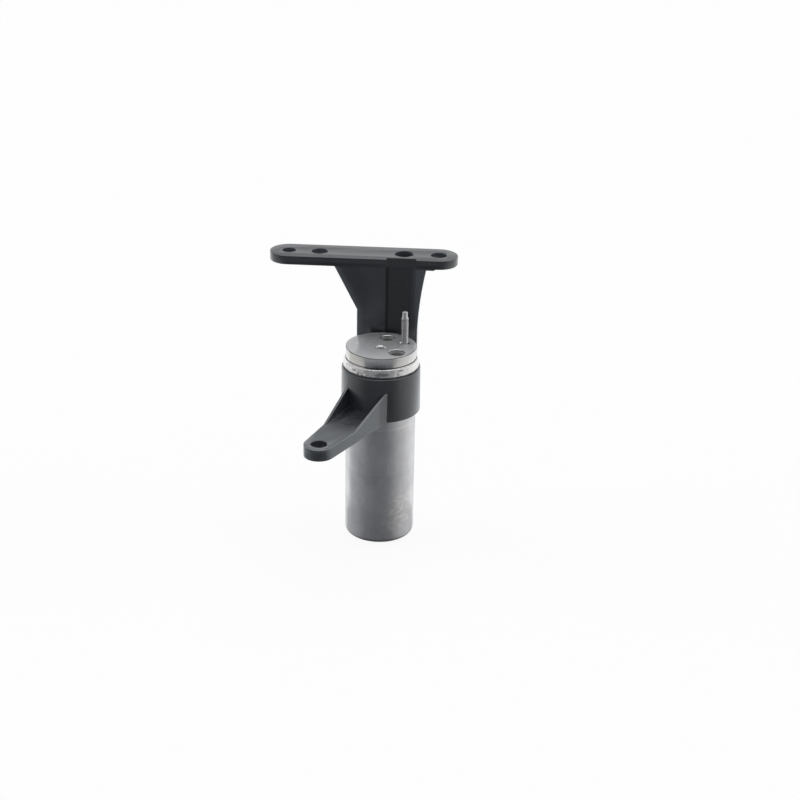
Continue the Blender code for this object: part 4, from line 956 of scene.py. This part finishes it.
spring = place(makeSpring(springSize), "spring", "spring")
dress(spring, wireFinish())
felt = feltFinish()
for name, pad in padSizes.items():
    piece = place(makePad(name, pad["node"], pad["hole"], padLook), "felt", pad["node"])
    dress(piece, felt)
sheet = sheetFinish()
innerFinishes = {
    "pickup_tube": tubeFinish(),
    "strainer_frame": nylonFinish("greyNylon", (0.30, 0.31, 0.33), (0.24, 0.25, 0.27), 0.5),
    "strainer_screen": wovenFinish(), "lower_plate": sheet, "upper_plate": sheet, "desiccant_bed": beadsFinish(),
    "tube_bush": nylonFinish("naturalNylon", (0.78, 0.75, 0.66), (0.70, 0.66, 0.56), 0.42),
}
for name, material in innerFinishes.items():
    dress(nodes[name], material)
print("inside: spring and felt pads made,", len(innerFinishes), "nodes finished")


# floor, light and camera

stageSize = {"floor": 12.0, "floorWhite": 0.88, "ambient": 0.50, "floorGlow": 0.90}


def emptyMaterial(name):
    material = bpy.data.materials.new(name)
    material.use_nodes = True
    material.node_tree.nodes.clear()
    return material, material.node_tree


def seenDirectly(tree):
    # one for the camera's rays and for mirror and clear ones, nought for the light that falls on things
    path = addNode(tree, "ShaderNodeLightPath").outputs
    return highest(tree, path["Is Camera Ray"], path["Is Glossy Ray"], path["Is Transmission Ray"])


def makeFloor(size):
    half = size["floor"] / 2
    mesh = bpy.data.meshes.new("floor")
    mesh.from_pydata([(-half, -half, 0), (half, -half, 0), (half, half, 0), (-half, half, 0)], [], [(0, 1, 2, 3)])
    floor = show("floor", mesh)
    floor.location.z = -0.05 * mm
    material, tree = emptyMaterial("paleFloor")
    matt = addNode(tree, "ShaderNodeBsdfDiffuse", {"Color": (size["floorWhite"],) * 3})
    glow = addNode(tree, "ShaderNodeEmission", {"Color": (1.0, 1.0, 1.0), "Strength": 1.0})
    both = addNode(tree, "ShaderNodeMixShader", {0: times(tree, seenDirectly(tree), size["floorGlow"])})
    tree.links.new(matt.outputs[0], both.inputs[1])
    tree.links.new(glow.outputs[0], both.inputs[2])
    tree.links.new(both.outputs[0], addNode(tree, "ShaderNodeOutputMaterial").inputs["Surface"])
    mesh.materials.append(material)


def makeWorld(size):
    world = bpy.data.worlds.new("studio")
    bpy.context.scene.world = world
    world.use_nodes = True
    tree = world.node_tree
    feed(tree, tree.nodes["Background"], Color=(1.0, 1.0, 1.0),
         Strength=spread(tree, seenDirectly(tree), 0.0, 1.0, size["ambient"], 1.0))


# grey glowing cards that paint reflections: they lie where the can's wall mirrors the floor, and some end in a wall;
# only mirror rays meet them, as flags do in a studio. Angles are counted on the can from the side that faces the
# camera, distances from the can's wall
cardFrom = {"radius": 30.0 * mm, "bearing": -86.0, "lift": 0.3 * mm, "wallLean": 0.05, "columns": 49}
# each card: its near and far end and the height of its wall, its tint, angles across it, and the tones at them, which
# are the strengths of its painted reflection
cardLook = {
    "footCard": ((-0.0038, 0.004, 0.0), (1.0, 1.0, 1.0), (-70.0, -27.0, 22.0, 70.0), (0.46, 0.09, 0.08, 0.50)),
    "frontCard": ((0.004, 0.25, 0.0), (0.97, 1.0, 1.05), (-27.0, -8.0, 19.0), (0.24, 0.17, 0.21)),
    "frontMiddleCard": ((0.25, 0.355, 0.0), (0.97, 1.0, 1.05), (-27.0, -12.0, 4.0, 19.0), (0.16, 0.01, 0.01, 0.18)),
    "frontFarCard": ((0.355, 0.49, 0.0), (0.97, 1.0, 1.07), (-27.0, -8.0, 19.0), (0.24, 0.06, 0.14)),
    "frontFloorCard": ((0.49, 1.6, 0.0), (0.97, 1.0, 1.05), (-27.0, 19.0), (0.32, 0.32)),
    "frontWall": ((1.66, 1.68, 2.6), (0.98, 1.0, 1.03), (-27.0, 19.0), (0.20, 0.20)),
    "leftCard": ((0.004, 0.25, 0.0), (0.98, 1.0, 1.03), (-60.0, -50.0, -27.0), (0.62, 0.42, 0.27)),
    "leftFarCard": ((0.25, 1.6, 0.0), (1.02, 1.0, 0.95), (-62.0, -32.0, -27.0), (0.72, 0.53, 0.38)),
    "leftWall": ((1.66, 1.68, 2.6), (1.0, 1.0, 0.98), (-62.0, -32.0, -27.0), (0.45, 0.26, 0.20)),
    "rightCard": ((0.004, 0.25, 0.0), (1.01, 1.0, 0.99), (19.0, 34.0, 62.0), (0.23, 0.50, 0.90)),
    "rightFarCard": ((0.25, 1.6, 0.0), (1.02, 1.0, 0.96), (19.0, 28.0, 62.0), (0.28, 0.58, 0.95)),
    "rightWall": ((1.66, 1.68, 2.6), (1.0, 1.0, 1.0), (19.0, 28.0, 62.0), (0.26, 0.45, 0.85)),
}


def makeCard(name, ends, tint, angles, tones):
    # a mirror ray leaves the wall at twice the angle that the wall faces; the tone runs evenly between the angles given
    start, stop, wall = ends
    profile = np.array([(start, 0.0), (stop, 0.0), (stop + cardFrom["wallLean"], wall)])
    columns = cardFrom["columns"]
    across = np.linspace(angles[0], angles[-1], columns)
    facing = np.radians(cardFrom["bearing"] + across)
    mirrored = np.radians(cardFrom["bearing"] + 2 * across)
    x = cardFrom["radius"] * np.cos(facing) + profile[:, :1] * np.cos(mirrored)
    y = cardFrom["radius"] * np.sin(facing) + profile[:, :1] * np.sin(mirrored)
    z = np.broadcast_to(profile[:, 1:] + cardFrom["lift"], x.shape)
    points = np.stack([x, y, z], axis=-1).reshape(-1, 3)
    faces = gridFaces(len(profile), columns)
    faces = faces[(faces[:, 0] % columns) != columns - 1]
    mesh = bpy.data.meshes.new(name)
    mesh.from_pydata(points.tolist(), [], faces.tolist())
    level = np.tile(np.interp(across, angles, tones), len(profile))
    mesh.attributes.new("tone", "FLOAT", "POINT").data.foreach_set("value", level.astype(np.float32))
    material, tree = emptyMaterial(name)
    # the card glows with its tone: a painted reflection, seen only by mirror rays
    strength = addNode(tree, "ShaderNodeAttribute", attribute_name="tone").outputs["Fac"]
    paint = addNode(tree, "ShaderNodeEmission", {"Color": tint, "Strength": strength})
    tree.links.new(paint.outputs[0], addNode(tree, "ShaderNodeOutputMaterial").inputs["Surface"])
    mesh.materials.append(material)
    item = show(name, mesh)
    item.visible_camera = False
    item.visible_diffuse = False
    item.visible_shadow = False


lampSizes = {
    "topSun": {"from": (0.10, 0.30, 1.0), "spread": 60.0, "strength": 0.9},
    "leftSun": {"from": (-1.0, 0.10, 0.30), "spread": 50.0, "strength": 1.4},
    "rightSun": {"from": (1.0, 0.15, 0.30), "spread": 50.0, "strength": 1.1},
}


def makeLamp(name, lamp):
    light = bpy.data.lights.new(name, "SUN")
    light.angle = math.radians(lamp["spread"])
    light.energy = lamp["strength"]
    item = show(name, light)
    item.rotation_mode = "QUATERNION"
    item.rotation_quaternion = (-Vector(lamp["from"])).to_track_quat("-Z", "Y")


viewSize = {"from": (82.47 * mm, -1197.66 * mm, 669.19 * mm), "bearing": 3.148, "tilt": 24.423, "roll": 1.074,
            "lens": 69.333, "sensor": 36.0}


def makeCamera(view):
    # forward from bearing and tilt, right level with the floor, then both turned by the roll about forward
    bearing, tilt, roll = (math.radians(view[key]) for key in ("bearing", "tilt", "roll"))
    forward = Vector((-math.sin(bearing) * math.cos(tilt), math.cos(bearing) * math.cos(tilt), -math.sin(tilt)))
    right = Vector((math.cos(bearing), math.sin(bearing), 0.0))
    up = right.cross(forward)
    turnedRight = right * math.cos(roll) + up * math.sin(roll)
    turnedUp = up * math.cos(roll) - right * math.sin(roll)
    camera = bpy.data.cameras.new("camera")
    camera.sensor_width = view["sensor"]
    camera.lens = view["lens"]
    item = show("camera", camera)
    axes = Matrix((turnedRight, turnedUp, -forward)).transposed().to_4x4()
    item.matrix_world = Matrix.Translation(view["from"]) @ axes
    bpy.context.scene.camera = item


makeFloor(stageSize)
makeWorld(stageSize)
for name, card in cardLook.items():
    makeCard(name, *card)
for name, lamp in lampSizes.items():
    makeLamp(name, lamp)
makeCamera(viewSize)
bpy.context.scene.view_settings.view_transform = "Standard"
print("stage: floor, world,", len(lampSizes), "lamps and the camera")
